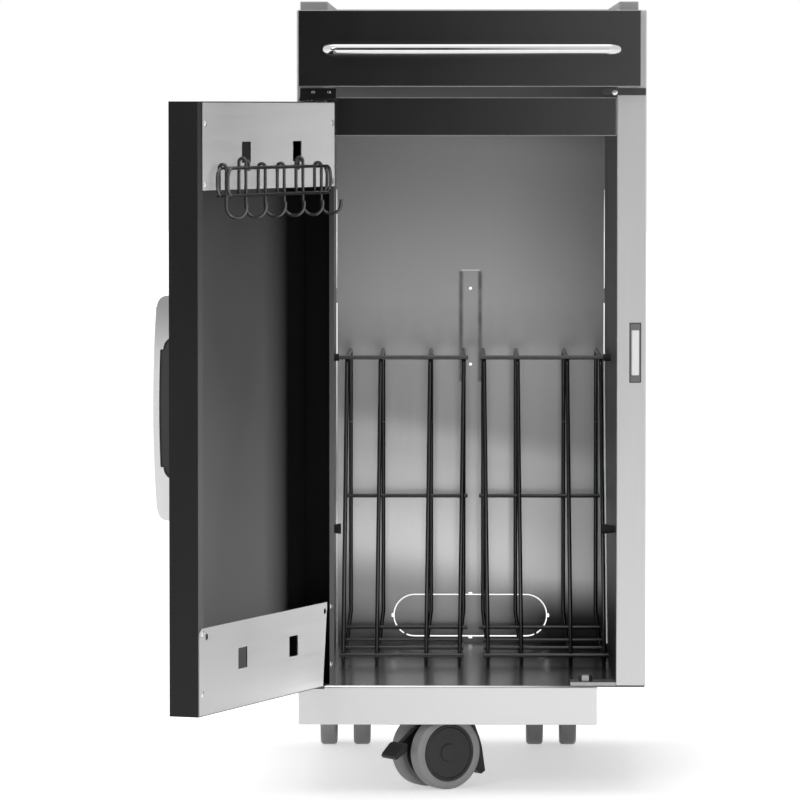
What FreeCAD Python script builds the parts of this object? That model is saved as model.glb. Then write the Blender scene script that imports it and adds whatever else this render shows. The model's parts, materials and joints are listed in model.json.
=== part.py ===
import FreeCAD, Part
import math
import os
import Sketcher

V = FreeCAD.Vector
DOC = FreeCAD.newDocument("grill_cart")
SHEET = DOC.addObject("Spreadsheet::Sheet", "Sizes")


# A size knows its number and the expression that works it out from the cells of the sheet.
class Size:
    def __init__(self, number, words):
        self.number = float(number)
        self.words = words

    def __add__(self, other):
        other = as_size(other)
        return Size(self.number + other.number, f"({self.words} + {other.words})")

    def __sub__(self, other):
        other = as_size(other)
        return Size(self.number - other.number, f"({self.words} - {other.words})")

    def __mul__(self, other):
        other = as_size(other)
        return Size(self.number * other.number, f"({self.words} * {other.words})")

    def __truediv__(self, other):
        other = as_size(other)
        return Size(self.number / other.number, f"({self.words} / {other.words})")

    def __radd__(self, other):
        return as_size(other) + self

    def __rsub__(self, other):
        return as_size(other) - self

    def __rmul__(self, other):
        return as_size(other) * self

    def __neg__(self):
        return Size(-self.number, f"(0 - {self.words})")

    def __float__(self):
        return self.number


def as_size(value):
    return value if isinstance(value, Size) else Size(value, repr(float(value)))


class Cells:
    """The sheet's cells by name, so that S.door_width is a Size bound to that cell."""

    rows = 0

    def put(self, alias, number):
        self.rows += 1
        SHEET.set(f"A{self.rows}", alias)
        SHEET.set(f"B{self.rows}", str(number))
        SHEET.setAlias(f"B{self.rows}", alias)
        setattr(self, alias, Size(number, f"Sizes.{alias}"))


S = Cells()

# Driving sizes, in millimetres and degrees. X runs to the right across the front, Y to the back, Z up.
# X is 0 at the middle of the cabinet, Y is 0 at the front face of its uprights, Z is 0 on the ground.
SIZES = {
    # cabinet
    "cabinet_width": 400.0,
    "cabinet_depth": 545.0,
    "wall_thick": 34.0,
    "side_top": 897.5,
    "floor_top": 122.5,
    "sheet": 1.2,
    "frame_sheet": 2.0,
    "liner_hem": 22.0,
    "liner_below_side_top": 27.0,
    "back_inset": 7.0,
    "back_slit": 1.7,
    "back_slit_top": 684.5,
    "back_tab_low": 544.5,
    "back_tab_high": 562.5,
    # knock-out plates pressed in the back panel
    "oval_width": 191.0,
    "oval_height": 53.0,
    "oval_height_above_floor": 34.0,
    "oval_slit": 2.2,
    "oval_bridge": 3.0,
    "strip_width": 26.0,
    "strip_height": 141.0,
    "strip_mid_height": 515.5,
    "strip_line": 2.4,
    "strip_line_depth": 0.7,
    "strip_hole": 3.6,
    "strip_hole_spacing": 94.0,
    # base frame under the floor
    "base_left": 199.0,
    "base_right": 144.5,
    "base_height": 43.5,
    "base_flange": 18.0,
    "rail_over_wheels": 1.5,
    "skirt_corner": 4.0,
    "floor_sheet": 1.5,
    "cross_rail_width": 78.0,
    "cross_rail_height": 24.5,
    # top rails that carry the grill head
    "top_rail_over_sides": 9.5,
    "left_rail_width": 31.5,
    "right_rail_width": 22.0,
    "top_rail_from_side": 4.0,
    "right_rail_from_side": 9.5,
    "rear_rail_depth": 16.0,
    "head_bolt_hole": 7.0,
    "head_bolt_inset": 60.0,
    # black cross rail under the fascia
    "cross_band_below_fascia": 12.0,
    "cross_band_height": 44.0,
    "cross_band_flange": 20.0,
    "fit_gap": 0.2,
    # fascia and its towel bar
    "fascia_width": 390.0,
    "fascia_left_of_middle": 2.5,
    "fascia_below_side_top": 1.0,
    "fascia_height": 87.0,
    "fascia_depth": 38.0,
    "towel_bar_length": 340.0,
    "towel_bar_diameter": 12.0,
    "towel_bar_over_fascia": 42.2,
    "towel_bar_reach": 32.0,
    "towel_bar_bend": 12.0,
    # door
    "door_width": 393.0,
    "door_below_band_top": 5.0,
    "door_bottom": 127.0,
    "door_thick": 34.0,
    "door_gap": 4.0,
    "door_sheet": 1.2,
    "door_open_angle": 110.7,
    "door_rim": 14.0,
    "hinge_from_edge": 12.6,
    "hinge_from_inside": 24.0,
    "hinge_pin": 8.0,
    "pin_clearance": 0.05,
    "hinge_washer": 1.2,
    "hinge_plate": 3.0,
    "hinge_plate_width": 28.0,
    "hinge_bush": 16.0,
    "hinge_bush_height": 9.0,
    # plates inside the door
    "door_plate_height": 96.0,
    "door_plate_hole_wide": 25.0,
    "door_plate_hole_tall": 23.0,
    "door_plate_hole_spacing": 147.0,
    "upper_hole_shift": -10.0,
    "lower_hole_shift": 2.0,
    "upper_hole_below_top": 55.5,
    "lower_hole_over_bottom": 54.5,
    "upper_plate_from_edge": 11.0,
    "lower_plate_from_hinge": 24.0,
    "lower_plate_slant": 13.0,
    "lower_plate_corner": 8.0,
    "plate_small_hole": 7.0,
    "small_hole_far": 20.0,
    "small_hole_near": 7.0,
    "small_hole_low": 10.0,
    "plate_screw_near": 7.5,
    "plate_screw_far": 9.0,
    "plate_screw_high": 24.0,
    "plate_screw_low": 6.0,
    "screw_head": 7.0,
    "screw_head_height": 1.2,
    # tool hooks hung in the upper plate
    "hook_wire": 3.6,
    "hook_frame_below_hole": 16.9,
    "hook_frame_height": 29.8,
    "hook_frame_bend": 12.0,
    "hook_frame_near": 48.0,
    "hook_frame_far": 345.0,
    "hook_frame_spare": 10.0,
    "hook_leg_out": 2.1,
    "hook_leg_spread": 8.3,
    "hook_count": 6,
    "hook_first": 67.0,
    "hook_spacing": 54.8,
    "hook_reach": 24.0,
    "hook_drop": 25.8,
    "hook_tip_over_bottom": 18.0,
    "hook_bend": 11.5,
    "hook_arch": 4.2,
    "hook_tall_arch": 10.4,
    "hanger_from_hole_edge": 11.0,
    "hanger_drop": 6.0,
    # door handle
    "handle_length": 245.0,
    "handle_mid_height": 459.5,
    "handle_reach": 32.6,
    "handle_bulge": 5.0,
    "handle_end_bend": 12.0,
    "handle_band": 7.7,
    "handle_window": 156.0,
    "handle_window_bend": 14.0,
    "handle_width": 24.0,
    "handle_from_edge": 43.0,
    "grip_gap": 13.6,
    "grip_narrower": 4.0,
    # catch in the right upright
    "catch_width": 13.5,
    "catch_height": 69.0,
    "catch_mid_height": 505.5,
    "catch_from_side": 12.5,
    "catch_deep": 16.0,
    "catch_proud": 1.6,
    "magnet_width": 9.0,
    "magnet_height": 52.0,
    "magnet_proud": 3.0,
    # wire racks on the floor
    "rack_wire": 5.0,
    "rack_length": 237.0,
    "rack_from_back": 43.0,
    "rack_top": 490.5,
    "rack_mid": 308.0,
    "rack_low_rear": 145.0,
    "rack_bend": 10.0,
    "rack_foot_bend": 8.0,
    "rack_splay": 5.0,
    "rack_narrow_gap": 40.0,
    "rack_wide_gap": 59.0,
    "rack_from_left_wall": 18.5,
    "rack_from_right_wall": 11.5,
    "rack_foot_rear": 120.0,
    "rack_foot_rise": 40.0,
    "weld_gap": 0.05,
    "bush_diameter": 8.4,
    "bush_length": 8.7,
    "rest_height": 298.5,
    "rest_from_front": 66.0,
    "rest_length": 15.0,
    "rest_root": 8.0,
    "rest_end": 12.4,
    # brackets and tie plate
    "bracket": 3.0,
    "top_bracket_over_door": 1.2,
    "bracket_below_fascia": 1.5,
    "right_bracket_height": 8.0,
    "bracket_screw": 4.4,
    "bracket_screw_below": 4.5,
    "bracket_screw_left": 15.0,
    "bracket_screw_right": 8.0,
    "right_bracket_screw": 13.4,
    "right_bracket_width": 49.0,
    "tie_plate_width": 52.0,
    "tie_plate_depth": 34.0,
    "tie_plate_thick": 4.0,
    "tie_bolt": 6.0,
    # casters
    "wheel_diameter": 85.0,
    "wheel_width": 20.5,
    "tyre_round": 4.0,
    "hub_diameter": 66.0,
    "wheel_gap": 1.2,
    "fork_web": 18.0,
    "axle_diameter": 8.0,
    "caster_trail": 28.0,
    "front_caster_x": -17.7,
    "front_caster_y": 64.0,
    "rear_caster_from_back": 71.0,
    "rear_caster_inset": 45.0,
    "front_caster_angle": 33.0,
    "rear_caster_angle": -90.0,
    "caster_plate": 3.0,
    "caster_plate_long": 64.0,
    "caster_plate_wide": 58.0,
    "swivel_gap": 0.4,
    "kingpin_diameter": 10.0,
    "pedal_reach": 64.0,
    "pedal_tread": 16.0,
    "pedal_wide": 30.0,
    "pedal_arm": 7.0,
    "pedal_pin": 4.0,
}
for alias, number in SIZES.items():
    S.put(alias, number)
# The origin is worked out from the finished shape, so its two cells start at nothing.
S.put("origin_x", 0.0)
S.put("origin_y", 0.0)
ORIGIN_ROWS = (S.rows - 1, S.rows)
DOC.recompute()

NODES = []


def bind(thing, **sizes):
    for name, size in sizes.items():
        thing.setExpression(name, as_size(size).words)
    return thing


def place(thing, x=0, y=0, z=0):
    for axis, size in (("x", x), ("y", y), ("z", z)):
        thing.setExpression(f"Placement.Base.{axis}", as_size(size).words)
    return thing


def block(name, x, y, z):
    """A box from its low and high sides along each axis."""
    thing = DOC.addObject("Part::Box", name)
    bind(thing, Length=x[1] - as_size(x[0]), Width=y[1] - as_size(y[0]), Height=z[1] - as_size(z[0]))
    return place(thing, x[0], y[0], z[0])


AXES = {"x": V(0, 1, 0), "y": V(-1, 0, 0), "z": V(0, 0, 1)}
TURNS = {"x": 90, "y": 90, "z": 0}


def rod(name, radius, axis, low, high, across):
    """A cylinder along one axis from low to high; across is its centre in the other two, in X, Y, Z."""
    thing = DOC.addObject("Part::Cylinder", name)
    bind(thing, Radius=radius, Height=high - as_size(low))
    thing.Placement = FreeCAD.Placement(V(0, 0, 0), FreeCAD.Rotation(AXES[axis], TURNS[axis]))
    one, two = across
    spots = {"x": (low, one, two), "y": (one, low, two), "z": (one, two, low)}
    return place(thing, *spots[axis])


def minus(name, base, *tools):
    tool = tools[0] if len(tools) == 1 else joined(name + "_tools", *tools)
    thing = DOC.addObject("Part::Cut", name)
    thing.Base = base
    thing.Tool = tool
    return thing


def joined(name, *pieces):
    thing = DOC.addObject("Part::MultiFuse", name)
    thing.Shapes = list(pieces)
    thing.Refine = True
    return thing


def group(name, *pieces):
    thing = DOC.addObject("Part::Compound", name)
    thing.Links = list(pieces)
    return thing


PLANES = {"XY": "XY_Plane", "XZ": "XZ_Plane", "YZ": "YZ_Plane"}


def draw_loop(sketch, points):
    """A closed outline in a sketch, with every corner held from the origin by the sheet's sizes."""
    first = sketch.GeometryCount
    count = len(points)
    for i in range(count):
        here, there = points[i], points[(i + 1) % count]
        start = V(float(here[0]), float(here[1]), 0)
        end = V(float(there[0]), float(there[1]), 0)
        sketch.addGeometry(Part.LineSegment(start, end), False)
    for i in range(count):
        sketch.addConstraint(Sketcher.Constraint("Coincident", first + i, 2, first + (i + 1) % count, 1))
    for i, point in enumerate(points):
        for kind, size in zip(("DistanceX", "DistanceY"), point):
            number = sketch.addConstraint(Sketcher.Constraint(kind, -1, 1, first + i, 1, float(size)))
            sketch.setExpression(f"Constraints[{number}]", as_size(size).words)


def padded(name, plane, outline, low, high, holes=()):
    """A sketched outline, with its holes, padded between two levels across its plane."""
    body = DOC.addObject("PartDesign::Body", name)
    sketch = body.newObject("Sketcher::SketchObject", name + "_outline")
    face = next(f for f in body.Origin.OriginFeatures if f.Role == PLANES[plane])
    sketch.AttachmentSupport = (face, [""])
    sketch.MapMode = "FlatFace"
    for loop in (outline, *holes):
        draw_loop(sketch, loop)
    level = -as_size(high) if plane == "XZ" else as_size(low)
    sketch.setExpression("AttachmentOffset.Base.z", level.words)
    pad = body.newObject("PartDesign::Pad", name + "_pad")
    pad.Profile = sketch
    pad.setExpression("Length", (high - as_size(low)).words)
    return body


def rectangle(x, y):
    return [(x[0], y[0]), (x[1], y[0]), (x[1], y[1]), (x[0], y[1])]


def keep(name, thing, x=0, y=0, turn=0, body="root"):
    """Names a finished piece and stands it in the part's frame, turned about Z."""
    if thing.TypeId in ("Part::Box", "Part::Cylinder"):
        thing = group(name + "_piece", thing)
    thing.Label = name
    thing.Placement = FreeCAD.Placement(V(0, 0, 0), FreeCAD.Rotation(V(0, 0, 1), 0.001))
    place(thing, as_size(x) - S.origin_x, as_size(y) - S.origin_y)
    thing.setExpression("Placement.Rotation.Angle", as_size(turn).words)
    NODES.append(thing)
    return thing


def bent_path(points, bends):
    """A wire of straight runs joined by tangent arcs, with a bend radius for each corner."""
    corners = [V(*(float(c) for c in point)) for point in points]
    edges = []
    start = corners[0]
    for before, corner, after, bend in zip(corners, corners[1:], corners[2:], bends):
        back = (before - corner).normalize()
        on = (after - corner).normalize()
        half = back.getAngle(on) / 2
        reach = float(bend) / math.tan(half)
        first, last = corner + back * reach, corner + on * reach
        inward = (back + on).normalize()
        middle = corner + inward * (float(bend) / math.sin(half) - float(bend))
        if (first - start).Length > 1e-6:
            edges.append(Part.LineSegment(start, first).toShape())
        edges.append(Part.Arc(first, middle, last).toShape())
        start = last
    edges.append(Part.LineSegment(start, corners[-1]).toShape())
    return Part.Wire(edges)


def bent_rod(name, points, radius, bend):
    """A round bar bent along a path: a circle swept along it."""
    bends = bend if isinstance(bend, list) else [bend] * (len(points) - 2)
    path = DOC.addObject("Part::Feature", name + "_path")
    path.Shape = bent_path(points, bends)
    circle = DOC.addObject("Part::Circle", name + "_section")
    bind(circle, Radius=radius)
    start = V(*(float(c) for c in points[0]))
    ahead = V(*(float(c) for c in points[1])) - start
    circle.Placement = FreeCAD.Placement(start, FreeCAD.Rotation(V(0, 0, 1), ahead))
    sweep = DOC.addObject("Part::Sweep", name)
    sweep.Sections = [circle]
    sweep.Spine = (path, [f"Edge{i + 1}" for i in range(len(path.Shape.Edges))])
    sweep.Solid = True
    sweep.Frenet = False
    return sweep


# Levels that several pieces share.
half_width = S.cabinet_width / 2
inner_half = half_width - S.wall_thick
back_face = S.cabinet_depth - S.back_inset
floor_under = S.floor_top - S.floor_sheet
base_bottom = floor_under - S.base_height
rail_bottom = S.wheel_diameter + S.rail_over_wheels
side_bottom = S.floor_top
liner_top = S.side_top - S.liner_below_side_top
top_rail_top = S.side_top + S.top_rail_over_sides
fascia_top = S.side_top - S.fascia_below_side_top
fascia_bottom = fascia_top - S.fascia_height
cross_band_top = fascia_bottom - S.cross_band_below_fascia
door_top = cross_band_top - S.door_below_band_top


# Side panels: outer skin with a front flange, which is the upright, and a rear flange.
def side_panel(name, side):
    def across(x):
        return x * side

    section = [
        (across(half_width), 0),
        (across(half_width), S.cabinet_depth),
        (across(inner_half), S.cabinet_depth),
        (across(inner_half), S.cabinet_depth - S.sheet),
        (across(half_width - S.sheet), S.cabinet_depth - S.sheet),
        (across(half_width - S.sheet), S.sheet),
        (across(inner_half), S.sheet),
        (across(inner_half), 0),
    ]
    return padded(name, "XY", section, side_bottom, S.side_top)


hinge_x = -(S.door_width / 2) + S.hinge_from_edge
hinge_y = -(S.door_gap + S.hinge_from_inside)
hinge_foot_top = S.floor_top + S.hinge_plate

foot_notch = block(
    "foot_notch",
    (-half_width + S.sheet, inner_half * -1 + 1),
    (-S.sheet, 2 * S.sheet),
    (side_bottom - 1, hinge_foot_top + S.fit_gap),
)
keep("left_side_panel", minus("left_side_cut", side_panel("left_side_folded", -1), foot_notch))

catch_x = half_width - S.catch_from_side
catch_mouth = block(
    "catch_mouth",
    (catch_x - S.catch_width / 2, catch_x + S.catch_width / 2),
    (-S.sheet, 2 * S.sheet),
    (S.catch_mid_height - S.catch_height / 2, S.catch_mid_height + S.catch_height / 2),
)
keep("right_side_panel", minus("right_side_cut", side_panel("right_side_folded", 1), catch_mouth))


# Liners: the cabinet's inner walls, hemmed outwards at the front and the back.
def liner(name, side):
    def across(x):
        return x * side

    outer = inner_half + S.liner_hem
    section = [
        (across(inner_half), S.sheet),
        (across(outer), S.sheet),
        (across(outer), 2 * S.sheet),
        (across(inner_half + S.sheet), 2 * S.sheet),
        (across(inner_half + S.sheet), back_face),
        (across(outer), back_face),
        (across(outer), back_face + S.sheet),
        (across(inner_half), back_face + S.sheet),
    ]
    return padded(name, "XY", section, side_bottom, liner_top)


liner_notch = block(
    "liner_notch",
    (-(inner_half + S.liner_hem) - 1, -inner_half + 1),
    (0, S.wall_thick),
    (side_bottom - 1, hinge_foot_top + S.fit_gap),
)
keep("left_liner", minus("left_liner_cut", liner("left_liner_folded", -1), liner_notch))
catch_room = block(
    "catch_room",
    (catch_x - S.catch_width / 2 - S.fit_gap, catch_x + S.catch_width / 2),
    (0, S.catch_deep),
    (
        S.catch_mid_height - S.catch_height / 2 - S.fit_gap,
        S.catch_mid_height + S.catch_height / 2 + S.fit_gap,
    ),
)
keep("right_liner", minus("right_liner_cut", liner("right_liner_folded", 1), catch_room))

# Back panel, narrower than the cabinet below back_slit_top, so that a slit of light shows at each side.
slit_half = inner_half - S.back_slit
back_outline = [
    (-slit_half, S.floor_top),
    (slit_half, S.floor_top),
    (slit_half, S.back_tab_low),
    (inner_half, S.back_tab_low),
    (inner_half, S.back_tab_high),
    (slit_half, S.back_tab_high),
    (slit_half, S.back_slit_top),
    (inner_half, S.back_slit_top),
    (inner_half, liner_top),
    (-inner_half, liner_top),
    (-inner_half, S.back_slit_top),
    (-slit_half, S.back_slit_top),
    (-slit_half, S.back_tab_high),
    (-inner_half, S.back_tab_high),
    (-inner_half, S.back_tab_low),
    (-slit_half, S.back_tab_low),
]
back_plate = padded("back_plate", "XZ", back_outline, back_face, back_face + S.sheet)


def stadium(name, width, height, middle):
    """A slot with round ends, through the back panel."""
    reach = width / 2 - height / 2
    y = (back_face - S.sheet, back_face + 2 * S.sheet)
    return joined(
        name,
        block(name + "_mid", (-reach, reach), y, (middle - height / 2, middle + height / 2)),
        rod(name + "_left", height / 2, "y", y[0], y[1], (-reach, middle)),
        rod(name + "_right", height / 2, "y", y[0], y[1], (reach, middle)),
    )


def oval_knock_out():
    """The slit round the oval cover: a stadium ring with a small notch on each axis, less its bridges."""
    middle = S.floor_top + S.oval_height_above_floor
    slit = S.oval_slit
    outer = stadium("oval_outer", S.oval_width, S.oval_height, middle)
    inner = stadium("oval_inner", S.oval_width - 2 * slit, S.oval_height - 2 * slit, middle)
    ring = minus("oval_ring", outer, inner)
    y = (back_face - S.sheet, back_face + 2 * S.sheet)
    reach_x = S.oval_width / 2
    reach_z = S.oval_height / 2
    notches = [
        block("notch_right", (reach_x - slit / 2, reach_x + slit), y, (middle - slit, middle + slit)),
        block("notch_left", (-reach_x - slit, -reach_x + slit / 2), y, (middle - slit, middle + slit)),
        block("notch_top", (-slit, slit), y, (middle + reach_z - slit / 2, middle + reach_z + slit)),
        block("notch_bottom", (-slit, slit), y, (middle - reach_z - slit, middle - reach_z + slit / 2)),
    ]
    corner = S.oval_width / 2 - S.oval_height / 4
    low = middle - S.oval_height / 2
    bridges = [
        block("bridge_right", (corner - S.oval_bridge, corner), y, (low - slit, low + S.oval_height / 3)),
        block("bridge_left", (-corner, S.oval_bridge - corner), y, (low - slit, low + S.oval_height / 3)),
    ]
    return minus("oval_slit", joined("oval_ring_notched", ring, *notches), *bridges)


def strip_lines():
    """The pressed outline of the tall strip above it, which doesn't go through, and its two holes."""
    half = S.strip_width / 2
    tall = S.strip_height / 2
    line = S.strip_line
    y = (back_face - S.sheet, back_face + S.strip_line_depth)
    middle = S.strip_mid_height
    outer = block("strip_outer", (-half, half), y, (middle - tall, middle + tall))
    inner_x = (line - half, half - line)
    inner_z = (middle - tall + line, middle + tall - line)
    inner = block("strip_inner", inner_x, (y[0] - 1, y[1] + 1), inner_z)
    low, high = back_face - S.sheet, back_face + 2 * S.sheet
    holes = []
    for i, part in enumerate((-0.5, 0.5)):
        spot = (0, middle + S.strip_hole_spacing * part)
        holes.append(rod(f"strip_hole_{i}", S.strip_hole / 2, "y", low, high, spot))
    return [minus("strip_frame", outer, inner), *holes]


keep("back_panel", minus("back_cut", back_plate, oval_knock_out(), *strip_lines()))

# Floor, skirt and the frame under the floor, which is narrower than the cabinet.
floor_x = (-half_width + 1, half_width - 1)
keep("floor_pan", block("floor_sheet", floor_x, (0, S.cabinet_depth), (floor_under, S.floor_top)))


def skirt():
    """Front skirt with its top flange folded back under the floor and its upper right corner rounded."""
    left, right = -S.base_left, as_size(S.base_right)
    section = [
        (0, base_bottom),
        (S.sheet, base_bottom),
        (S.sheet, floor_under - S.sheet),
        (S.base_flange, floor_under - S.sheet),
        (S.base_flange, floor_under),
        (0, floor_under),
    ]
    return padded("skirt_folded", "YZ", section, left, right)


corner_x = S.base_right - S.skirt_corner
corner_z = floor_under - S.skirt_corner
corner_block = block(
    "corner_block", (corner_x, S.base_right + 1), (-1, S.sheet), (corner_z, floor_under + 1)
)
corner_round = rod("corner_round", S.skirt_corner, "y", -2, S.sheet + 1, (corner_x, corner_z))
keep("base_skirt", minus("skirt_cut", skirt(), minus("corner_waste", corner_block, corner_round)))


def side_rail(name, outer, inward):
    """C-shaped rail along the base; inward is 1 or -1, the way its flanges point."""
    wall = S.frame_sheet * inward
    flange = S.base_flange * inward
    section = [
        (outer, rail_bottom),
        (outer + flange, rail_bottom),
        (outer + flange, rail_bottom + S.frame_sheet),
        (outer + wall, rail_bottom + S.frame_sheet),
        (outer + wall, floor_under - S.frame_sheet),
        (outer + flange, floor_under - S.frame_sheet),
        (outer + flange, floor_under),
        (outer, floor_under),
    ]
    return padded(name, "XZ", section, S.base_flange, S.cabinet_depth - S.frame_sheet)


keep(
    "base_side_rails",
    group(
        "base_side_pair",
        side_rail("base_rail_left", -S.base_left, 1),
        side_rail("base_rail_right", as_size(S.base_right), -1),
    ),
)
rear_rail_section = [
    (S.cabinet_depth, rail_bottom),
    (S.cabinet_depth, floor_under),
    (S.cabinet_depth - S.base_flange, floor_under),
    (S.cabinet_depth - S.base_flange, floor_under - S.frame_sheet),
    (S.cabinet_depth - S.frame_sheet, floor_under - S.frame_sheet),
    (S.cabinet_depth - S.frame_sheet, rail_bottom),
]
rail_inner_left = -S.base_left + S.base_flange
rail_inner_right = S.base_right - S.base_flange
keep(
    "base_rear_rail",
    padded("base_rear_folded", "YZ", rear_rail_section, rail_inner_left, rail_inner_right),
)

cross_rail_bottom = floor_under - S.cross_rail_height


def cross_rail(name, y):
    """Channel that carries casters, its two flanges up against the floor."""
    half = S.cross_rail_width / 2
    wall = S.frame_sheet
    section = [
        (y - half, floor_under),
        (y - half, cross_rail_bottom),
        (y + half, cross_rail_bottom),
        (y + half, floor_under),
        (y + half - wall, floor_under),
        (y + half - wall, cross_rail_bottom + wall),
        (y - half + wall, cross_rail_bottom + wall),
        (y - half + wall, floor_under),
    ]
    left = -S.base_left + S.frame_sheet
    right = S.base_right - S.frame_sheet
    under_flange = floor_under - S.frame_sheet - S.fit_gap
    channel = padded(name + "_channel", "YZ", section, left, right)
    low, high = y - half - 1, y + half + 1
    waste_z = (under_flange, floor_under + 1)
    ends = [
        block(name + "_left_end", (left - 1, rail_inner_left + S.fit_gap), (low, high), waste_z),
        block(name + "_right_end", (rail_inner_right - S.fit_gap, right + 1), (low, high), waste_z),
    ]
    return minus(name, channel, *ends)


rear_caster_y = S.cabinet_depth - S.rear_caster_from_back
keep(
    "caster_cross_rails",
    group(
        "cross_rail_pair",
        cross_rail("cross_rail_front", S.front_caster_y + as_size(0)),
        cross_rail("cross_rail_rear", rear_caster_y),
    ),
)

# Top rails along both sides, with the holes for the grill head's bolts, and the rear top rail.
left_rail = (-half_width + S.top_rail_from_side, -half_width + S.top_rail_from_side + S.left_rail_width)
right_rail = (half_width - S.right_rail_from_side - S.right_rail_width, half_width - S.right_rail_from_side)
rail_low = liner_top
head_bolt_rear = S.cabinet_depth - S.head_bolt_inset


def top_rail(name, x):
    wall = S.frame_sheet
    section = [
        (x[0], rail_low),
        (x[0] + wall, rail_low),
        (x[0] + wall, top_rail_top - wall),
        (x[1] - wall, top_rail_top - wall),
        (x[1] - wall, rail_low),
        (x[1], rail_low),
        (x[1], top_rail_top),
        (x[0], top_rail_top),
    ]
    channel = padded(name + "_folded", "XZ", section, S.sheet, S.cabinet_depth - S.sheet)
    front = block(name + "_front", x, (S.sheet, S.sheet + wall), (rail_low, top_rail_top))
    rail = joined(name + "_closed", channel, front)
    middle = (x[0] + x[1]) / 2
    low, high = top_rail_top - 2 * wall, top_rail_top + 1
    bolts = [
        rod(f"{name}_bolt_{i}", S.head_bolt_hole / 2, "z", low, high, (middle, y))
        for i, y in enumerate((S.head_bolt_inset, head_bolt_rear))
    ]
    return minus(name + "_cut", rail, *bolts)


keep("left_top_rail", top_rail("left_top_rail", left_rail))
keep("right_top_rail", top_rail("right_top_rail", right_rail))
rear_top_section = [
    (back_face, rail_low),
    (back_face + S.sheet, rail_low),
    (back_face + S.sheet, top_rail_top),
    (back_face - S.rear_rail_depth, top_rail_top),
    (back_face - S.rear_rail_depth, top_rail_top - S.sheet),
    (back_face, top_rail_top - S.sheet),
]
keep("rear_top_rail", padded("rear_top_folded", "YZ", rear_top_section, left_rail[1], right_rail[0]))

# Black cross rail between the uprights, a channel open to the back.
band_low = cross_band_top - S.cross_band_height
band_section = [
    (0, band_low),
    (S.cross_band_flange, band_low),
    (S.cross_band_flange, band_low + S.sheet),
    (S.sheet, band_low + S.sheet),
    (S.sheet, cross_band_top - S.sheet),
    (S.cross_band_flange, cross_band_top - S.sheet),
    (S.cross_band_flange, cross_band_top),
    (0, cross_band_top),
]
keep(
    "cross_band",
    padded("cross_band_folded", "YZ", band_section, S.fit_gap - inner_half, inner_half - S.fit_gap),
)


# A shallow tray of folded sheet, open towards the cabinet.
def tray(name, x, y, z, wall):
    outside = block(name + "_outside", x, y, z)
    inside = block(
        name + "_inside",
        (x[0] + wall, x[1] - wall),
        (y[0] + wall, y[1] + 1),
        (z[0] + wall, z[1] - wall),
    )
    return minus(name, outside, inside)


fascia_half = S.fascia_width / 2
keep(
    "front_fascia",
    tray(
        "fascia_tray",
        (-fascia_half - S.fascia_left_of_middle, fascia_half - S.fascia_left_of_middle),
        (-S.fascia_depth, as_size(0)),
        (fascia_bottom, fascia_top),
        S.sheet,
    ),
)

# Towel bar: one bent bar with its two ends on the fascia.
bar_half = S.towel_bar_length / 2 - S.towel_bar_diameter / 2
bar_out = -S.fascia_depth - S.towel_bar_reach
bar_height = fascia_bottom + S.towel_bar_over_fascia
bar_points = [
    (-bar_half, -S.fascia_depth, bar_height),
    (-bar_half, bar_out, bar_height),
    (bar_half, bar_out, bar_height),
    (bar_half, -S.fascia_depth, bar_height),
]
keep("towel_bar", bent_rod("towel_bar_bent", bar_points, S.towel_bar_diameter / 2, S.towel_bar_bend))


# Hinge hardware on the left: bracket above the door, plate below it, and a pin in each.
bracket_left = -half_width + S.top_rail_from_side
bracket_right = -inner_half + S.liner_hem / 2
pin_radius = S.hinge_pin / 2
bracket_x = (bracket_left, bracket_right)
bracket_low = door_top + S.top_bracket_over_door
bracket_high = fascia_bottom - S.bracket_below_fascia
leaf_y = (-S.fascia_depth, as_size(0))
bracket_y = (-S.bracket, as_size(0))
top_bracket = joined(
    "top_bracket_bent",
    block("top_bracket_leaf", bracket_x, leaf_y, (bracket_low, bracket_low + S.bracket)),
    block("top_bracket_back", bracket_x, bracket_y, (bracket_low, bracket_high)),
)
keep("hinge_bracket_top", top_bracket)
foot_left = hinge_x - S.hinge_plate_width / 2 + 2
foot_right = -inner_half - S.fit_gap * 10
hinge_foot = block(
    "hinge_foot", (foot_left, foot_right), (-S.fascia_depth, S.wall_thick), (S.floor_top, hinge_foot_top)
)
keep("hinge_foot_plate", hinge_foot)
hinge_spot = (hinge_x, hinge_y)
pin_foot = door_top - S.hinge_bush_height
pin_head = S.door_bottom + S.hinge_bush_height
pin_top = rod("pin_top", pin_radius, "z", pin_foot, bracket_low, hinge_spot)
pin_bottom = rod("pin_bottom", pin_radius, "z", hinge_foot_top, pin_head, hinge_spot)
keep("hinge_pins", group("hinge_pin_pair", pin_top, pin_bottom))
right_bracket_x = (half_width - 1 - S.right_bracket_width, half_width - 1)
right_bracket_z = (bracket_high - S.right_bracket_height, bracket_high)
keep("fascia_bracket_right", block("right_bracket", right_bracket_x, bracket_y, right_bracket_z))

# Catch in the right upright: a plastic housing through the flange and the magnet bar in it.
catch_low = S.catch_mid_height - S.catch_height / 2
catch_high = S.catch_mid_height + S.catch_height / 2
housing = block(
    "catch_shell",
    (catch_x - S.catch_width / 2, catch_x + S.catch_width / 2),
    (-S.catch_proud, S.catch_deep),
    (catch_low, catch_high),
)
magnet_x = (catch_x - S.magnet_width / 2, catch_x + S.magnet_width / 2)
magnet_z = (S.catch_mid_height - S.magnet_height / 2, S.catch_mid_height + S.magnet_height / 2)
pocket = block("catch_pocket", magnet_x, (-S.catch_proud - 1, S.catch_deep / 2), magnet_z)
keep("catch_housing", minus("catch_shell_cut", housing, pocket))
keep("catch_magnet", block("magnet_bar", magnet_x, (-S.magnet_proud, S.catch_deep / 2), magnet_z))

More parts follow.
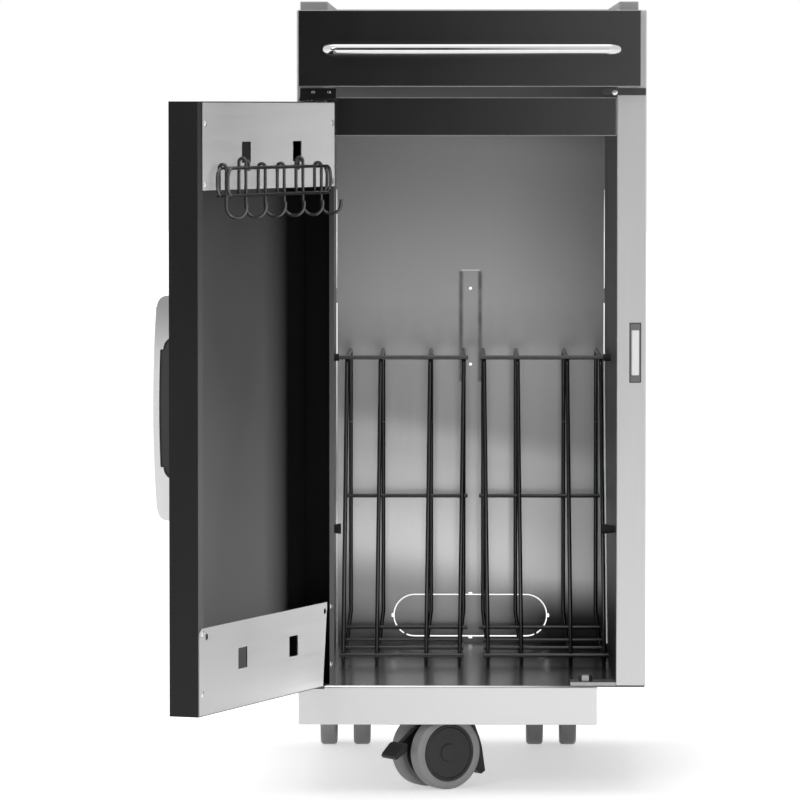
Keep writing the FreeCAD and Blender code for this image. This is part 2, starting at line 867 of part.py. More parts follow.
# Tie plate on the floor by the right upright, where the next cabinet is joined on.
tie_right = inner_half - S.fit_gap
tie_left = tie_right - S.tie_plate_width
tie_top = S.floor_top + S.tie_plate_thick
tie_bolt_x = tie_left + S.tie_plate_width / 3
tie_bolt_y = S.sheet + S.tie_plate_depth / 2
tie_hole = rod("tie_hole", S.tie_bolt / 2, "z", S.floor_top - 1, tie_top + 1, (tie_bolt_x, tie_bolt_y))
tie_y = (S.sheet, S.sheet + S.tie_plate_depth)
tie_blank = block("tie_blank", (tie_left, tie_right), tie_y, (S.floor_top, tie_top))
keep("tie_plate", minus("tie_cut", tie_blank, tie_hole))


# Screw and bolt heads on the cabinet, one node.
def front_head(name, x, z, face, wide=S.screw_head):
    return rod(name, wide / 2, "y", face - S.screw_head_height, face, (x, z))


bolt_head = DOC.addObject("Part::Prism", "tie_bolt_head")
bolt_head.Polygon = 6
bind(bolt_head, Circumradius=S.tie_bolt, Height=S.tie_bolt * 0.7)
place(bolt_head, tie_bolt_x, tie_bolt_y, tie_top)
shank_radius = S.tie_bolt / 2 - S.pin_clearance
bolt_spot = (tie_bolt_x, tie_bolt_y)
bolt_shank = rod("tie_bolt_shank", shank_radius, "z", S.floor_top, tie_top, bolt_spot)
screw_line = bracket_high - S.bracket_screw_below
screw_near = bracket_left + S.bracket_screw_left
screw_far = bracket_right - S.bracket_screw_right
screws = [
    joined("tie_bolt", bolt_head, bolt_shank),
    front_head("bracket_screw_a", screw_near, screw_line, -S.bracket, S.bracket_screw),
    front_head("bracket_screw_b", screw_far, screw_line, -S.bracket, S.bracket_screw),
    front_head("bracket_screw_c", right_bracket_x[0] + S.right_bracket_screw, screw_line, -S.bracket),
]


# The racks, worked out from the walls inwards: each divider is one wire bent into a closed upright frame.
wire = S.rack_wire
rack_foot = S.floor_top + wire / 2
rack_back = S.cabinet_depth - S.rack_from_back
rack_front = rack_back - S.rack_length


def divider_spots(side):
    """Places of the four dividers of a rack, from its wall inwards."""
    spots = [inner_half - (S.rack_from_left_wall if side < 0 else S.rack_from_right_wall)]
    for gap in (S.rack_narrow_gap, S.rack_wide_gap, S.rack_narrow_gap):
        spots.append(spots[-1] - gap)
    return [spot * side for spot in spots]


def divider(name, x, side):
    """Front leg, foot run, rear leg and top run; the front leg splays outwards down to the floor."""
    foot_x = x + S.rack_splay * side
    top = S.rack_top - wire / 2
    middle = (S.rack_mid + S.rack_top) / 2
    points = [
        (x, rack_back, middle),
        (x, rack_back, top),
        (x, rack_front, top),
        (foot_x, rack_front, rack_foot),
        (foot_x, rack_back, rack_foot),
        (x, rack_back, rack_foot + S.rack_foot_rise),
        (x, rack_back, middle - S.fit_gap * 2),
    ]
    bends = [S.rack_bend, S.rack_bend, S.rack_foot_bend, S.rack_foot_bend, S.rack_bend]
    return bent_rod(name, points, wire / 2, bends)


# The top wire is welded outside the bend of the front legs, halfway round it.
corner_seat = (S.rack_bend + wire + S.weld_gap) * math.sqrt(0.5)
top_wire_y = rack_front + S.rack_bend - corner_seat
top_wire_z = S.rack_top - wire / 2 - S.rack_bend + corner_seat


def rack(name, side):
    spots = divider_spots(side)
    dividers = [divider(f"{name}_divider_{i}", x, side) for i, x in enumerate(spots)]
    keep(name + "_dividers", group(name + "_divider_group", *dividers))
    inner, outer = spots[-1], spots[0]
    step = wire + S.weld_gap
    past = wire * side
    foot_out = outer + S.rack_splay * side + past
    foot_in = inner + S.rack_splay * side - past
    wall_x = inner_half * side - S.fit_gap * side

    def across(number, one, two, y, z):
        low, high = (one, two) if float(one) < float(two) else (two, one)
        return rod(f"{name}_wire_{number}", wire / 2, "x", low, high, (y, z))

    wires = [
        across(0, inner - past, wall_x, top_wire_y, top_wire_z),
        across(1, inner - past, outer + past, rack_back - step, S.rack_mid),
        across(2, foot_in, foot_out, rack_front - step, rack_foot + S.rack_foot_bend),
        across(3, foot_in, foot_out, rack_front + S.rack_foot_rear, rack_foot + step),
        across(4, foot_in, foot_out, rack_back - wire * 3, rack_foot + step),
        across(5, inner - past, outer + past, rack_back - step, S.rack_low_rear),
    ]
    keep(name + "_cross_wires", group(name + "_wire_group", *wires))


rack("left_rack", -1)
rack("right_rack", 1)


def wire_bush(name, side):
    """Rubber bush on the liner, bored for the end of a rack's top wire."""
    wall = inner_half * side
    inward = wall - S.bush_length * side
    low, high = (wall, inward) if side < 0 else (inward, wall)
    across = (top_wire_y, top_wire_z)
    reach = inner_half + 1
    solid = rod(name + "_solid", S.bush_diameter / 2, "x", low, high, across)
    bore = rod(name + "_bore", wire / 2 + S.weld_gap, "x", -reach, reach, across)
    return minus(name, solid, bore)


def shelf_rest(name, side):
    """Black peg on the liner, wider at its free end."""
    cone = DOC.addObject("Part::Cone", name)
    bind(cone, Radius1=S.rest_root / 2, Radius2=S.rest_end / 2, Height=S.rest_length)
    cone.Placement = FreeCAD.Placement(V(0, 0, 0), FreeCAD.Rotation(V(0, 1, 0), -90 * side))
    return place(cone, inner_half * side, S.rest_from_front, S.rest_height)


keep(
    "rack_bushes",
    group(
        "bush_group",
        wire_bush("bush_left", -1),
        wire_bush("bush_right", 1),
        shelf_rest("rest_left", -1),
        shelf_rest("rest_right", 1),
    ),
)

# The door is drawn closed about its hinge axis, then turned to where it stands open.
door_left = -S.hinge_from_edge
door_right = S.door_width - S.hinge_from_edge
door_in = as_size(S.hinge_from_inside)
door_out = S.hinge_from_inside - S.door_thick


def keep_on_door(name, thing):
    return keep(name, thing, hinge_x, hinge_y, -S.door_open_angle)


def door_tray():
    """Outer skin with four folded sides, a narrow rim turned in along both upright sides, and pin bores."""
    across = (door_left, door_right)
    shell = tray("door_shell", across, (door_out, door_in), (S.door_bottom, door_top), S.door_sheet)
    rim = block(
        "door_rim",
        (door_right - S.door_rim, door_right - S.door_sheet),
        (door_in - S.door_sheet, door_in),
        (S.door_bottom + S.door_sheet, door_top - S.door_sheet),
    )
    hinge_rim = block(
        "door_hinge_rim",
        (door_left + S.door_sheet, door_left + S.door_rim),
        (door_in - S.door_sheet, door_in),
        (S.door_bottom + S.door_sheet, door_top - S.door_sheet),
    )
    bore = rod("door_pin_bore", pin_radius + S.pin_clearance, "z", S.door_bottom - 1, door_top + 1, (0, 0))
    return minus("door_tray_cut", joined("door_tray_whole", shell, rim, hinge_rim), bore)


keep_on_door("door_tray", door_tray())

plate_y = (door_in, door_in + S.door_sheet)
plate_near = door_left + S.door_sheet
plate_far = door_right - S.fit_gap
door_mid = (door_left + door_right) / 2
upper_x = (plate_near, door_right - S.upper_plate_from_edge)
lower_x = (door_left + S.lower_plate_from_hinge, plate_far)
plate_tops = (door_top - S.door_sheet, S.door_bottom + S.door_plate_height)


def door_plate(name, x, high, slant, hole_mid, hole_height):
    """Sheet plate across the inside of the door with two large openings; slant leans its hinge-side edge."""
    half_wide = S.door_plate_hole_wide / 2
    half_tall = S.door_plate_hole_tall / 2
    holes = []
    for part in (-0.5, 0.5):
        middle = hole_mid + S.door_plate_hole_spacing * part
        tall = (hole_height - half_tall, hole_height + half_tall)
        holes.append(rectangle((middle - half_wide, middle + half_wide), tall))
    low = high - S.door_plate_height + S.door_sheet
    outline = [(x[0] + slant, low), (x[1], low), (x[1], high), (x[0], high)]
    return padded(name, "XZ", outline, plate_y[0], plate_y[1], holes)


upper_hole_mid = door_mid + S.upper_hole_shift
upper_hole_z = door_top - S.upper_hole_below_top
keep_on_door(
    "door_upper_plate",
    door_plate("upper_plate", upper_x, plate_tops[0], 0, upper_hole_mid, upper_hole_z),
)


def lower_plate():
    """The lower plate has one rounded corner and a small round hole near each upper corner."""
    hole_mid = door_mid + S.lower_hole_shift
    hole_z = S.door_bottom + S.lower_hole_over_bottom
    plate = door_plate("lower_plate", lower_x, plate_tops[1], S.lower_plate_slant, hole_mid, hole_z)
    across = (plate_y[0] - 1, plate_y[1] + 1)
    corner = S.lower_plate_corner
    spot = (lower_x[1] - corner, plate_tops[1] - corner)
    waste = minus(
        "lower_corner_waste",
        block("lower_corner", (spot[0], lower_x[1] + 1), across, (spot[1], plate_tops[1] + 1)),
        rod("lower_corner_round", corner, "y", across[0] - 1, across[1] + 1, spot),
    )
    small_z = plate_tops[1] - S.small_hole_low
    holes = [
        rod(f"lower_small_hole_{i}", S.plate_small_hole / 2, "y", across[0], across[1], (x, small_z))
        for i, x in enumerate((lower_x[0] + S.small_hole_near, lower_x[1] - S.small_hole_far))
    ]
    return minus("lower_plate_cut", plate, waste, *holes)


keep_on_door("door_lower_plate", lower_plate())

# Bushes in the door's corners that run on the hinge pins, with a washer collar below the bracket.
bush_radius = S.hinge_bush / 2


def hinge_bush(name, low, high, collar_low, collar_high):
    body = rod(name + "_body", bush_radius, "z", low, high, (0, 0))
    collar = rod(name + "_collar", bush_radius * 0.8, "z", collar_low, collar_high, (0, 0))
    bore = rod(name + "_bore", pin_radius + S.pin_clearance, "z", low - 3, high + 3, (0, 0))
    return minus(name, group(name + "_both", body, collar), bore)


bottom_low = S.door_bottom + S.door_sheet
top_high = door_top - S.door_sheet
top_collar = (door_top, bracket_low - S.fit_gap)
bottom_collar = (hinge_foot_top + S.fit_gap, S.door_bottom)
keep_on_door(
    "door_hinge_bushes",
    group(
        "hinge_bush_pair",
        hinge_bush("bush_top", top_high - S.hinge_bush_height, top_high, *top_collar),
        hinge_bush("bush_bottom", bottom_low, bottom_low + S.hinge_bush_height, *bottom_collar),
    ),
)

# Tool hooks: two long wire frames side by side, hooks bent over them, and two hangers in the upper plate.
hook_radius = S.hook_wire / 2
hook_frame_high = upper_hole_z - S.hook_frame_below_hole
hook_frame_low = hook_frame_high - S.hook_frame_height
hook_bottom = hook_frame_low - S.hook_drop
hook_tip = hook_bottom + S.hook_tip_over_bottom
hook_face = plate_y[1]
hook_step = S.hook_wire + S.weld_gap
leg_back = hook_face + S.hook_leg_out
leg_front = leg_back + S.hook_leg_spread


def along_door(from_hinge_edge):
    return from_hinge_edge - S.hinge_from_edge


def hook_frame(name, near, far, y):
    """A long loop of wire with four round corners, its ends meeting in the middle of the lower run."""
    low, high = hook_frame_low, hook_frame_high
    middle = (near + far) / 2
    points = [
        (middle + S.fit_gap, y, low),
        (far, y, low),
        (far, y, high),
        (near, y, high),
        (near, y, low),
        (middle - S.fit_gap, y, low),
    ]
    return bent_rod(name, points, hook_radius, S.hook_frame_bend)


def hanger(name, x):
    """A short wire from the back frame up through the upper plate's opening, and down behind the plate."""
    rest = upper_hole_z - S.door_plate_hole_tall / 2 + hook_radius + S.fit_gap
    behind = plate_y[0] - hook_radius - S.fit_gap * 2
    points = [
        (x, leg_back, hook_frame_high - S.hook_wire),
        (x, leg_back, rest),
        (x, behind, rest),
        (x, behind, rest - S.hanger_drop - hook_radius),
    ]
    return bent_rod(name, points, hook_radius, (leg_back - behind) / 2 - 0.01)


frame_near, frame_far = along_door(S.hook_frame_near), along_door(S.hook_frame_far)
frame_spare = S.hook_frame_spare
hole_reach = S.door_plate_hole_wide / 2 - S.hanger_from_hole_edge
hole_mid = door_mid + S.upper_hole_shift
hanger_near = hole_mid - S.door_plate_hole_spacing / 2 + hole_reach
hanger_far = hole_mid + S.door_plate_hole_spacing / 2 - hole_reach
keep_on_door(
    "hook_rack_frames",
    group(
        "hook_frame_group",
        hook_frame("hook_frame_front", frame_near, frame_far, leg_front + hook_step),
        hook_frame(
            "hook_frame_back", frame_near - frame_spare, frame_far + frame_spare, leg_back + hook_step
        ),
        hanger("hanger_near", hanger_near),
        hanger("hanger_far", hanger_far),
    ),
)


def hook(name, x, arch):
    """A wire up behind the frames, over, down in front of the plate and round to its tip."""
    top = hook_frame_high + arch
    bottom = hook_bottom + hook_radius
    tip = leg_front + S.hook_reach
    points = [
        (x, leg_back, hook_frame_low - hook_radius),
        (x, leg_back, top),
        (x, leg_front, top),
        (x, leg_front, bottom),
        (x, tip, bottom),
        (x, tip, hook_tip),
    ]
    turn = S.hook_leg_spread / 2 - 0.01
    return bent_rod(name, points, hook_radius, [turn, turn, S.hook_bend, S.hook_bend])


hook_total = int(float(S.hook_count))
hooks = []
for i in range(hook_total):
    arch = S.hook_tall_arch if i in (1, hook_total - 2) else S.hook_arch
    hooks.append(hook(f"hook_{i}", along_door(S.hook_first + S.hook_spacing * i), arch))
keep_on_door("hook_rack_hooks", group("hook_group", *hooks))

# Handle on the outer face: a bowed bar with round ends, a window through it, and a dark grip in the window.
handle_x = door_right - S.handle_from_edge
handle_half = S.handle_length / 2
bulge_radius = (handle_half * handle_half + S.handle_bulge * S.handle_bulge) / (2 * S.handle_bulge)


def common(name, one, two):
    thing = DOC.addObject("Part::MultiCommon", name)
    thing.Shapes = [one, two]
    return thing


def bowed(name, half, reach, bend, width, start):
    """A bar on the door's face from start out to reach, bowed outwards, with round outer corners."""
    x = (handle_x - width / 2, handle_x + width / 2)
    middle = S.handle_mid_height
    corner = reach - S.handle_bulge - bend
    straight = half - bend
    pieces = [
        block(name + "_long", x, (door_out - corner, door_out - start), (middle - half, middle + half)),
        block(
            name + "_tall", x, (door_out - reach, door_out - start), (middle - straight, middle + straight)
        ),
    ]
    for side in (-1, 1):
        spot = (door_out - corner, middle + straight * side)
        pieces.append(rod(f"{name}_end_{side + 1}", bend, "x", x[0], x[1], spot))
    bow_spot = (door_out - reach + bulge_radius, middle)
    bow = rod(name + "_bow", bulge_radius, "x", x[0] - 1, x[1] + 1, bow_spot)
    return common(name, joined(name + "_square", *pieces), bow)


window_reach = S.handle_reach - S.handle_band
window_half = S.handle_window / 2
bar = bowed("handle_bar", handle_half, S.handle_reach, S.handle_end_bend, S.handle_width, as_size(0))
hole_wide = S.handle_width * 2
window = bowed("handle_hole", window_half, window_reach, S.handle_window_bend, hole_wide, as_size(-1))
keep_on_door("door_handle", minus("handle_bow", bar, window))
grip_wide = S.handle_width - S.grip_narrower
grip_blank = bowed("grip_blank", window_half, window_reach, S.handle_window_bend, grip_wide, as_size(0))
finger_room = block(
    "finger_room",
    (handle_x - S.handle_width, handle_x + S.handle_width),
    (door_out - S.grip_gap, door_out + S.handle_reach),
    (S.handle_mid_height - S.handle_length, S.handle_mid_height + S.handle_length),
)
keep_on_door("handle_grip", minus("grip_cut", grip_blank, finger_room))


# White screw heads on the door's plates and on its hinge-side rim, one node.
def inside_head(name, x, z, seat):
    return rod(name, S.screw_head / 2, "y", seat, seat + S.screw_head_height, (x, z))


near, far = S.plate_screw_near, S.plate_screw_far
screw_spots = [
    (door_left + near, door_top - S.plate_screw_high, plate_y[1]),
    (door_left + near, door_top - S.door_plate_height + S.plate_screw_low, plate_y[1]),
    (upper_x[1] - near, door_top - S.plate_screw_high, plate_y[1]),
    (upper_x[1] - near, door_top - S.door_plate_height + S.plate_screw_low, plate_y[1]),
    (door_left + far, S.door_bottom + S.plate_screw_high, door_in),
    (door_left + far, plate_tops[1] - S.plate_screw_low, door_in),
    (lower_x[1] - far, S.door_bottom + S.plate_screw_high, plate_y[1]),
    (lower_x[1] - far, plate_tops[1] - S.plate_screw_low, plate_y[1]),
]
door_heads = [inside_head(f"door_screw_{i}", *spot) for i, spot in enumerate(screw_spots)]
keep_on_door("door_plate_screws", group("door_screw_group", *door_heads))


# Casters, each drawn with its swivel axis on Z and its wheels trailing towards -X, then turned and placed.
caster_top = cross_rail_bottom - S.caster_plate
axle_z = S.wheel_diameter / 2
axle_x = -S.caster_trail
fork_half = S.fork_web / 2
wheel_in = fork_half + S.wheel_gap
wheel_out = wheel_in + S.wheel_width
axle_radius = S.axle_diameter / 2
kingpin_radius = S.kingpin_diameter / 2
swivel_top = caster_top - S.swivel_gap
pedal_pivot = (axle_x - 15, axle_z + 23.5)
cap_low = S.wheel_diameter + 2
kingpin_low = cap_low - 22

CASTERS = {
    "front": (S.front_caster_x, S.front_caster_y, S.front_caster_angle),
    "rear_left": (-S.base_left + S.rear_caster_inset, rear_caster_y, S.rear_caster_angle),
    "rear_right": (S.base_right - S.rear_caster_inset, rear_caster_y, S.rear_caster_angle),
}


def caster_plate(name):
    """Top plate with its kingpin and a raised race ring."""
    long, wide = S.caster_plate_long / 2, S.caster_plate_wide / 2
    plate = block(name + "_flat", (-long, long), (-wide, wide), (caster_top, cross_rail_bottom))
    pin = rod(name + "_pin", kingpin_radius, "z", kingpin_low, caster_top, (0, 0))
    return joined(name, plate, pin)


def placed(name, thing, spot):
    x, y, yaw = spot
    piece = group(name, thing)
    piece.Placement = FreeCAD.Placement(V(0, 0, 0), FreeCAD.Rotation(V(0, 0, 1), 0.001))
    place(piece, x, y)
    piece.setExpression("Placement.Rotation.Angle", as_size(yaw).words)
    return piece


plates = [placed(f"plate_at_{k}", caster_plate(f"plate_{k}"), spot) for k, spot in CASTERS.items()]
keep("caster_plates", group("caster_plate_group", *plates))


def caster_bolts(key, spot):
    """Four hexagon heads under each plate's corners."""
    heads = []
    for i, (sx, sy) in enumerate(((-1, -1), (-1, 1), (1, -1), (1, 1))):
        head = DOC.addObject("Part::Prism", f"caster_bolt_{key}_{i}")
        head.Polygon = 6
        bind(head, Circumradius=S.screw_head * 0.55, Height=S.screw_head_height * 2)
        spread = (S.caster_plate_long / 2 - S.screw_head, S.caster_plate_wide / 2 - S.screw_head)
        place(head, spread[0] * sx, spread[1] * sy, cross_rail_bottom + S.frame_sheet)
        heads.append(head)
    return placed(f"caster_bolts_{key}", group(f"caster_bolt_group_{key}", *heads), spot)


all_bolts = [caster_bolts(k, spot) for k, spot in CASTERS.items()]
keep("cabinet_screws", group("screw_group", *screws, *all_bolts))


def fork(key, with_tail):
    """Swivel cap, neck and the web between the wheels with the axle's boss."""
    cap = rod(f"{key}_cap", kingpin_radius * 4, "z", cap_low, swivel_top, (0, 0))
    web_y = (-fork_half, fork_half)
    neck_half = kingpin_radius * 2.4
    neck = block(f"{key}_neck", (-neck_half, neck_half), web_y, (cap_low - 26, cap_low + 1))
    boss = rod(f"{key}_boss", axle_radius * 3.4, "y", -fork_half, fork_half, (axle_x, axle_z))
    outline = [
        (axle_x - 22, axle_z + 32),
        (-8, cap_low),
        (12, cap_low),
        (12, axle_z + 22),
        (axle_x + 12, axle_z - 4),
        (axle_x - 12, axle_z - 4),
        (axle_x - 22, axle_z + 14),
    ]
    web = padded(f"{key}_web", "XZ", outline, web_y[0], web_y[1])
    pieces = [cap, neck, boss, web]
    if with_tail:
        tail = [
            (10, cap_low - 24),
            (10, cap_low),
            (16, cap_low - 4),
            (28, axle_z + 11.5),
            (31, axle_z + 1.5),
            (35.5, axle_z - 26.5),
            (30, axle_z - 30),
            (23.5, axle_z - 25.5),
            (23.5, axle_z + 3.5),
        ]
        pieces.append(padded(f"{key}_tail", "XZ", tail, -fork_half * 0.9, fork_half * 0.9))
    through = (-fork_half - 1, fork_half + 1)
    pin_room = kingpin_radius + S.pin_clearance
    bores = [
        rod(f"{key}_kingpin_bore", pin_room, "z", kingpin_low - 2, swivel_top + 1, (0, 0)),
        rod(f"{key}_axle_bore", axle_radius, "y", *through, (axle_x, axle_z)),
    ]
    if with_tail:
        slot = S.pedal_arm / 2 + 0.4
        slot_x, slot_z = (axle_x - 40, axle_x - 8), (axle_z + 12, axle_z + 46)
        bores.append(block(f"{key}_pedal_slot", slot_x, (-slot, slot), slot_z))
        bores.append(rod(f"{key}_pedal_bore", S.pedal_pin / 2, "y", *through, pedal_pivot))
    return minus(f"{key}_fork", joined(f"{key}_fork_whole", *pieces), *bores)


def hub(name, side):
    """Wheel disc with a dished outer face, a raised centre cap and a blind bore for the axle."""
    inner, outer = wheel_in * side, (wheel_out - 1) * side
    low, high = (inner, outer) if side > 0 else (outer, inner)
    disc = rod(name + "_disc", S.hub_diameter / 2, "y", low, high, (axle_x, axle_z))
    dish_from = outer - 2.5 * side
    dish_low, dish_high = (dish_from, outer + side) if side > 0 else (outer + side, dish_from)
    dish = minus(
        name + "_dish",
        rod(name + "_dish_out", S.hub_diameter / 2 - 3, "y", dish_low, dish_high, (axle_x, axle_z)),
        rod(name + "_dish_in", axle_radius * 2.4, "y", dish_low - 1, dish_high + 1, (axle_x, axle_z)),
    )
    bore_end = outer - 4 * side
    bore_low, bore_high = (inner - side, bore_end) if side > 0 else (bore_end, inner - side)
    bore = rod(name + "_bore", axle_radius + S.pin_clearance, "y", bore_low, bore_high, (axle_x, axle_z))
    return minus(name, disc, dish, bore)


def tyre(name, side):
    """Ring round the hub with rounded outer edges."""
    low, high = (wheel_in, wheel_out) if side > 0 else (-wheel_out, -wheel_in)
    full, less = S.wheel_diameter / 2, S.wheel_diameter / 2 - S.tyre_round
    flat_low, flat_high = low + S.tyre_round, high - S.tyre_round
    pieces = [
        rod(name + "_tread", full, "y", flat_low, flat_high, (axle_x, axle_z)),
        rod(name + "_sides", less, "y", low, high, (axle_x, axle_z)),
    ]
    for part, y in (("low", flat_low), ("high", flat_high)):
        ring = DOC.addObject("Part::Torus", f"{name}_{part}_edge")
        bind(ring, Radius1=less, Radius2=S.tyre_round)
        ring.Placement = FreeCAD.Placement(V(0, 0, 0), FreeCAD.Rotation(AXES["y"], 90))
        pieces.append(place(ring, axle_x, y, axle_z))
    hole = rod(name + "_hole", S.hub_diameter / 2, "y", low - 1, high + 1, (axle_x, axle_z))
    return minus(name, joined(name + "_whole", *pieces), hole)


def axle(name, with_pedal_pin):
    """Axle of the two wheels, and beside it the pin that the brake pedal rocks on."""
    reach = wheel_out - 5.5
    main = rod(name, axle_radius, "y", -reach, reach, (axle_x, axle_z))
    if not with_pedal_pin:
        return main
    pin = rod(name + "_pedal_pin", S.pedal_pin / 2, "y", -fork_half, fork_half, pedal_pivot)
    return group(name + "_pins", main, pin)


def pedal(name):
    """Brake pedal: an arm between the wheels and a broad tread behind them."""
    arm_half = S.pedal_arm / 2
    pivot_x, pivot_z = pedal_pivot
    tread_to = axle_x - S.pedal_reach
    tread_from = tread_to + S.pedal_tread
    arm_outline = [
        (pivot_x + 5, pivot_z - 4),
        (pivot_x + 5, pivot_z + 5),
        (pivot_x - 14, pivot_z + 4),
        (tread_from - 1, pivot_z - 11),
        (tread_from - 1, pivot_z - 19),
        (pivot_x - 14, pivot_z - 6),
    ]
    arm = padded(name + "_arm", "XZ", arm_outline, -arm_half, arm_half)
    tread_outline = [
        (tread_from, pivot_z - 20),
        (tread_from, pivot_z - 11.5),
        (tread_from - 5, pivot_z - 12.5),
        (tread_to, pivot_z - 24),
        (tread_to - 1, pivot_z - 27),
        (tread_to + 1, pivot_z - 29.5),
    ]
    tread = padded(name + "_tread", "XZ", tread_outline, -S.pedal_wide / 2, S.pedal_wide / 2)
    pin_room = S.pedal_pin / 2 + S.pin_clearance
    pin_hole = rod(name + "_hole", pin_room, "y", -S.pedal_wide, S.pedal_wide, pedal_pivot)
    return minus(name, joined(name + "_whole", arm, tread), pin_hole)


def keep_caster(name, thing, spot):
    return keep(name, thing, *spot)


for key, spot in CASTERS.items():
    braked = key == "front"
    keep_caster(f"{key}_fork", fork(key, braked), spot)
    keep_caster(f"{key}_axle", axle(f"{key}_axle_rod", braked), spot)
    for side_name, side in (("near", -1), ("far", 1)):
        keep_caster(f"{key}_hub_{side_name}", hub(f"{key}_{side_name}_hub", side), spot)
        keep_caster(f"{key}_tyre_{side_name}", tyre(f"{key}_{side_name}_tyre", side), spot)
    if braked:
        keep_caster(f"{key}_brake_pedal", pedal(f"{key}_pedal"), spot)

DOC.recompute()


# The part stands on the middle of its own footprint, with the door where it is.
def stand_on_middle():
    box = FreeCAD.BoundBox()
    for node in NODES:
        box.add(node.Shape.optimalBoundingBox(False))
    for row, middle in zip(ORIGIN_ROWS, (box.Center.x, box.Center.y)):
        SHEET.set(f"B{row}", str(round(middle, 3)))
    DOC.recompute()
    return round(box.Center.x, 3), round(box.Center.y, 3)


def check_and_write():
    for thing in DOC.Objects:
        if "Invalid" in thing.State or "Error" in thing.State:
            raise RuntimeError(f"{thing.Name} did not build: {thing.State}")
    os.makedirs("parts", exist_ok=True)
    for node in NODES:
        shape = node.Shape
        if shape.isNull() or not shape.isValid() or not shape.Solids:
            raise RuntimeError(f"{node.Label} has no sound solid")
        shape.exportStep(os.path.join("parts", node.Label + ".step"))


origin = stand_on_middle()
check_and_write()
print(len(NODES), "nodes, origin taken from", origin)
for key, (x, y, yaw) in CASTERS.items():
    swivel = (round(float(x) - origin[0], 3), round(float(y) - origin[1], 3))
    print(f"{key} caster swivels at", *swivel, "yaw", float(yaw))
print("door hinge at", round(float(hinge_x) - origin[0], 3), round(float(hinge_y) - origin[1], 3))
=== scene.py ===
# %% [markdown]
# # A grill cart with storage
# This lesson dresses the packed CAD model of a narrow steel cabinet on casters: an open door with tool hooks,
# two wire racks inside and a chrome towel bar across the top. The CAD solids already have the right size and
# place, so the work here is finish, light, soft edges and the small things that a solid leaves out.

# %% Start empty and load the frame
import json
import math

import bmesh
import bpy
from mathutils import Matrix, Vector

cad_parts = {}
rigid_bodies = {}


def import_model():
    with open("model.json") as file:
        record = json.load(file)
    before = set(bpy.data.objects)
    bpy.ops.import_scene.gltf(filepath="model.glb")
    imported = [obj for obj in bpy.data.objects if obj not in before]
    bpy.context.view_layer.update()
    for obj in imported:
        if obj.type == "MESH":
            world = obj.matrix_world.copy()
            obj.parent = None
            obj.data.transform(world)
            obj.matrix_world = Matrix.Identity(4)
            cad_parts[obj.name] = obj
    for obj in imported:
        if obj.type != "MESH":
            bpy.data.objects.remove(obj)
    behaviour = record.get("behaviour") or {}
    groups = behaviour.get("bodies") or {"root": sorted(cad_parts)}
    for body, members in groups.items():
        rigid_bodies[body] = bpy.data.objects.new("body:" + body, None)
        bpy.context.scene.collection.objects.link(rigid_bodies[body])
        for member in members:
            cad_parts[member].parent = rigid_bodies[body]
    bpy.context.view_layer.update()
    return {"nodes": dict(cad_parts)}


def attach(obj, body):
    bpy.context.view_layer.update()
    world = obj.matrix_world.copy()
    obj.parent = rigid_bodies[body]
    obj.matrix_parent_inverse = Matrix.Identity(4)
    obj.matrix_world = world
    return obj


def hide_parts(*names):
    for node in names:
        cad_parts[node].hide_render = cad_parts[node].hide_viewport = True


for thing in list(bpy.data.objects):
    bpy.data.objects.remove(thing)
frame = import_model()
nodes = frame["nodes"]

# %% [markdown]
# The cabinet was drawn in millimetres about its own middle. These two helpers turn such a place into the
# frame's metres, for the cabinet and for the door, which was drawn closed about its hinge and swung open.

# %% Places on the cabinet and on the door
MM = 0.001
CABINET_MIDDLE = Vector((-73.627, 76.218, 0.0))
DOOR_OPEN = math.radians(-110.7)
HINGE = Vector((-183.9, -28.0, 0.0))


def on_cabinet(x, y, z):
    """A place measured from the cabinet's middle, its uprights' front and the ground, in millimetres."""
    return (Vector((x, y, z)) - CABINET_MIDDLE) * MM


door_to_frame = Matrix.Translation(on_cabinet(*HINGE)) @ Matrix.Rotation(DOOR_OPEN, 4, "Z")


def on_door(x, y, z):
    """A place on the door as it was drawn closed, from the hinge axis, in millimetres."""
    return door_to_frame @ (Vector((x, y, z)) * MM)


print("hinge axis at", [round(n, 4) for n in on_door(0, 0, 0)])

# %% [markdown]
# ## Sums of sockets
# A finish is mostly arithmetic on noise. Wiring Math nodes by hand hides that, so a small class wraps a
# socket and lets Python's own operators add the nodes.


# %% A socket that can be used in a sum
class Field:
    """A number that varies over a surface: a socket, with operators that add Math nodes."""

    def __init__(self, tree, socket):
        self.tree = tree
        self.socket = socket

    def math(self, operation, *others):
        made = self.tree.nodes.new("ShaderNodeMath")
        made.operation = operation
        for slot, value in zip(made.inputs, (self, *others)):
            connect(self.tree, slot, value)
        return Field(self.tree, made.outputs[0])

    def __add__(self, other):
        return self.math("ADD", other)

    __radd__ = __add__

    def __mul__(self, other):
        return self.math("MULTIPLY", other)

    __rmul__ = __mul__

    def __sub__(self, other):
        return self.math("SUBTRACT", other)

    def __rsub__(self, other):
        return (self * -1.0) + other

    def clamped(self):
        return self.math("MINIMUM", 1.0).math("MAXIMUM", 0.0)


def connect(tree, slot, value):
    """Links a field to a socket, or writes a plain value on it."""
    if isinstance(value, Field):
        tree.links.new(value.socket, slot)
    else:
        slot.default_value = value


signs = [name.strip("_") for name in vars(Field) if name.strip("_").lstrip("r") in ("add", "sub", "mul")]
print("operators:", signs)

# %% [markdown]
# Every other node comes from one method. It writes the settings first, because they decide which sockets a
# node shows, and then fills the sockets: by name or, where two share a name, by number. Materials, the world
# and the Geometry Nodes trees all use it.


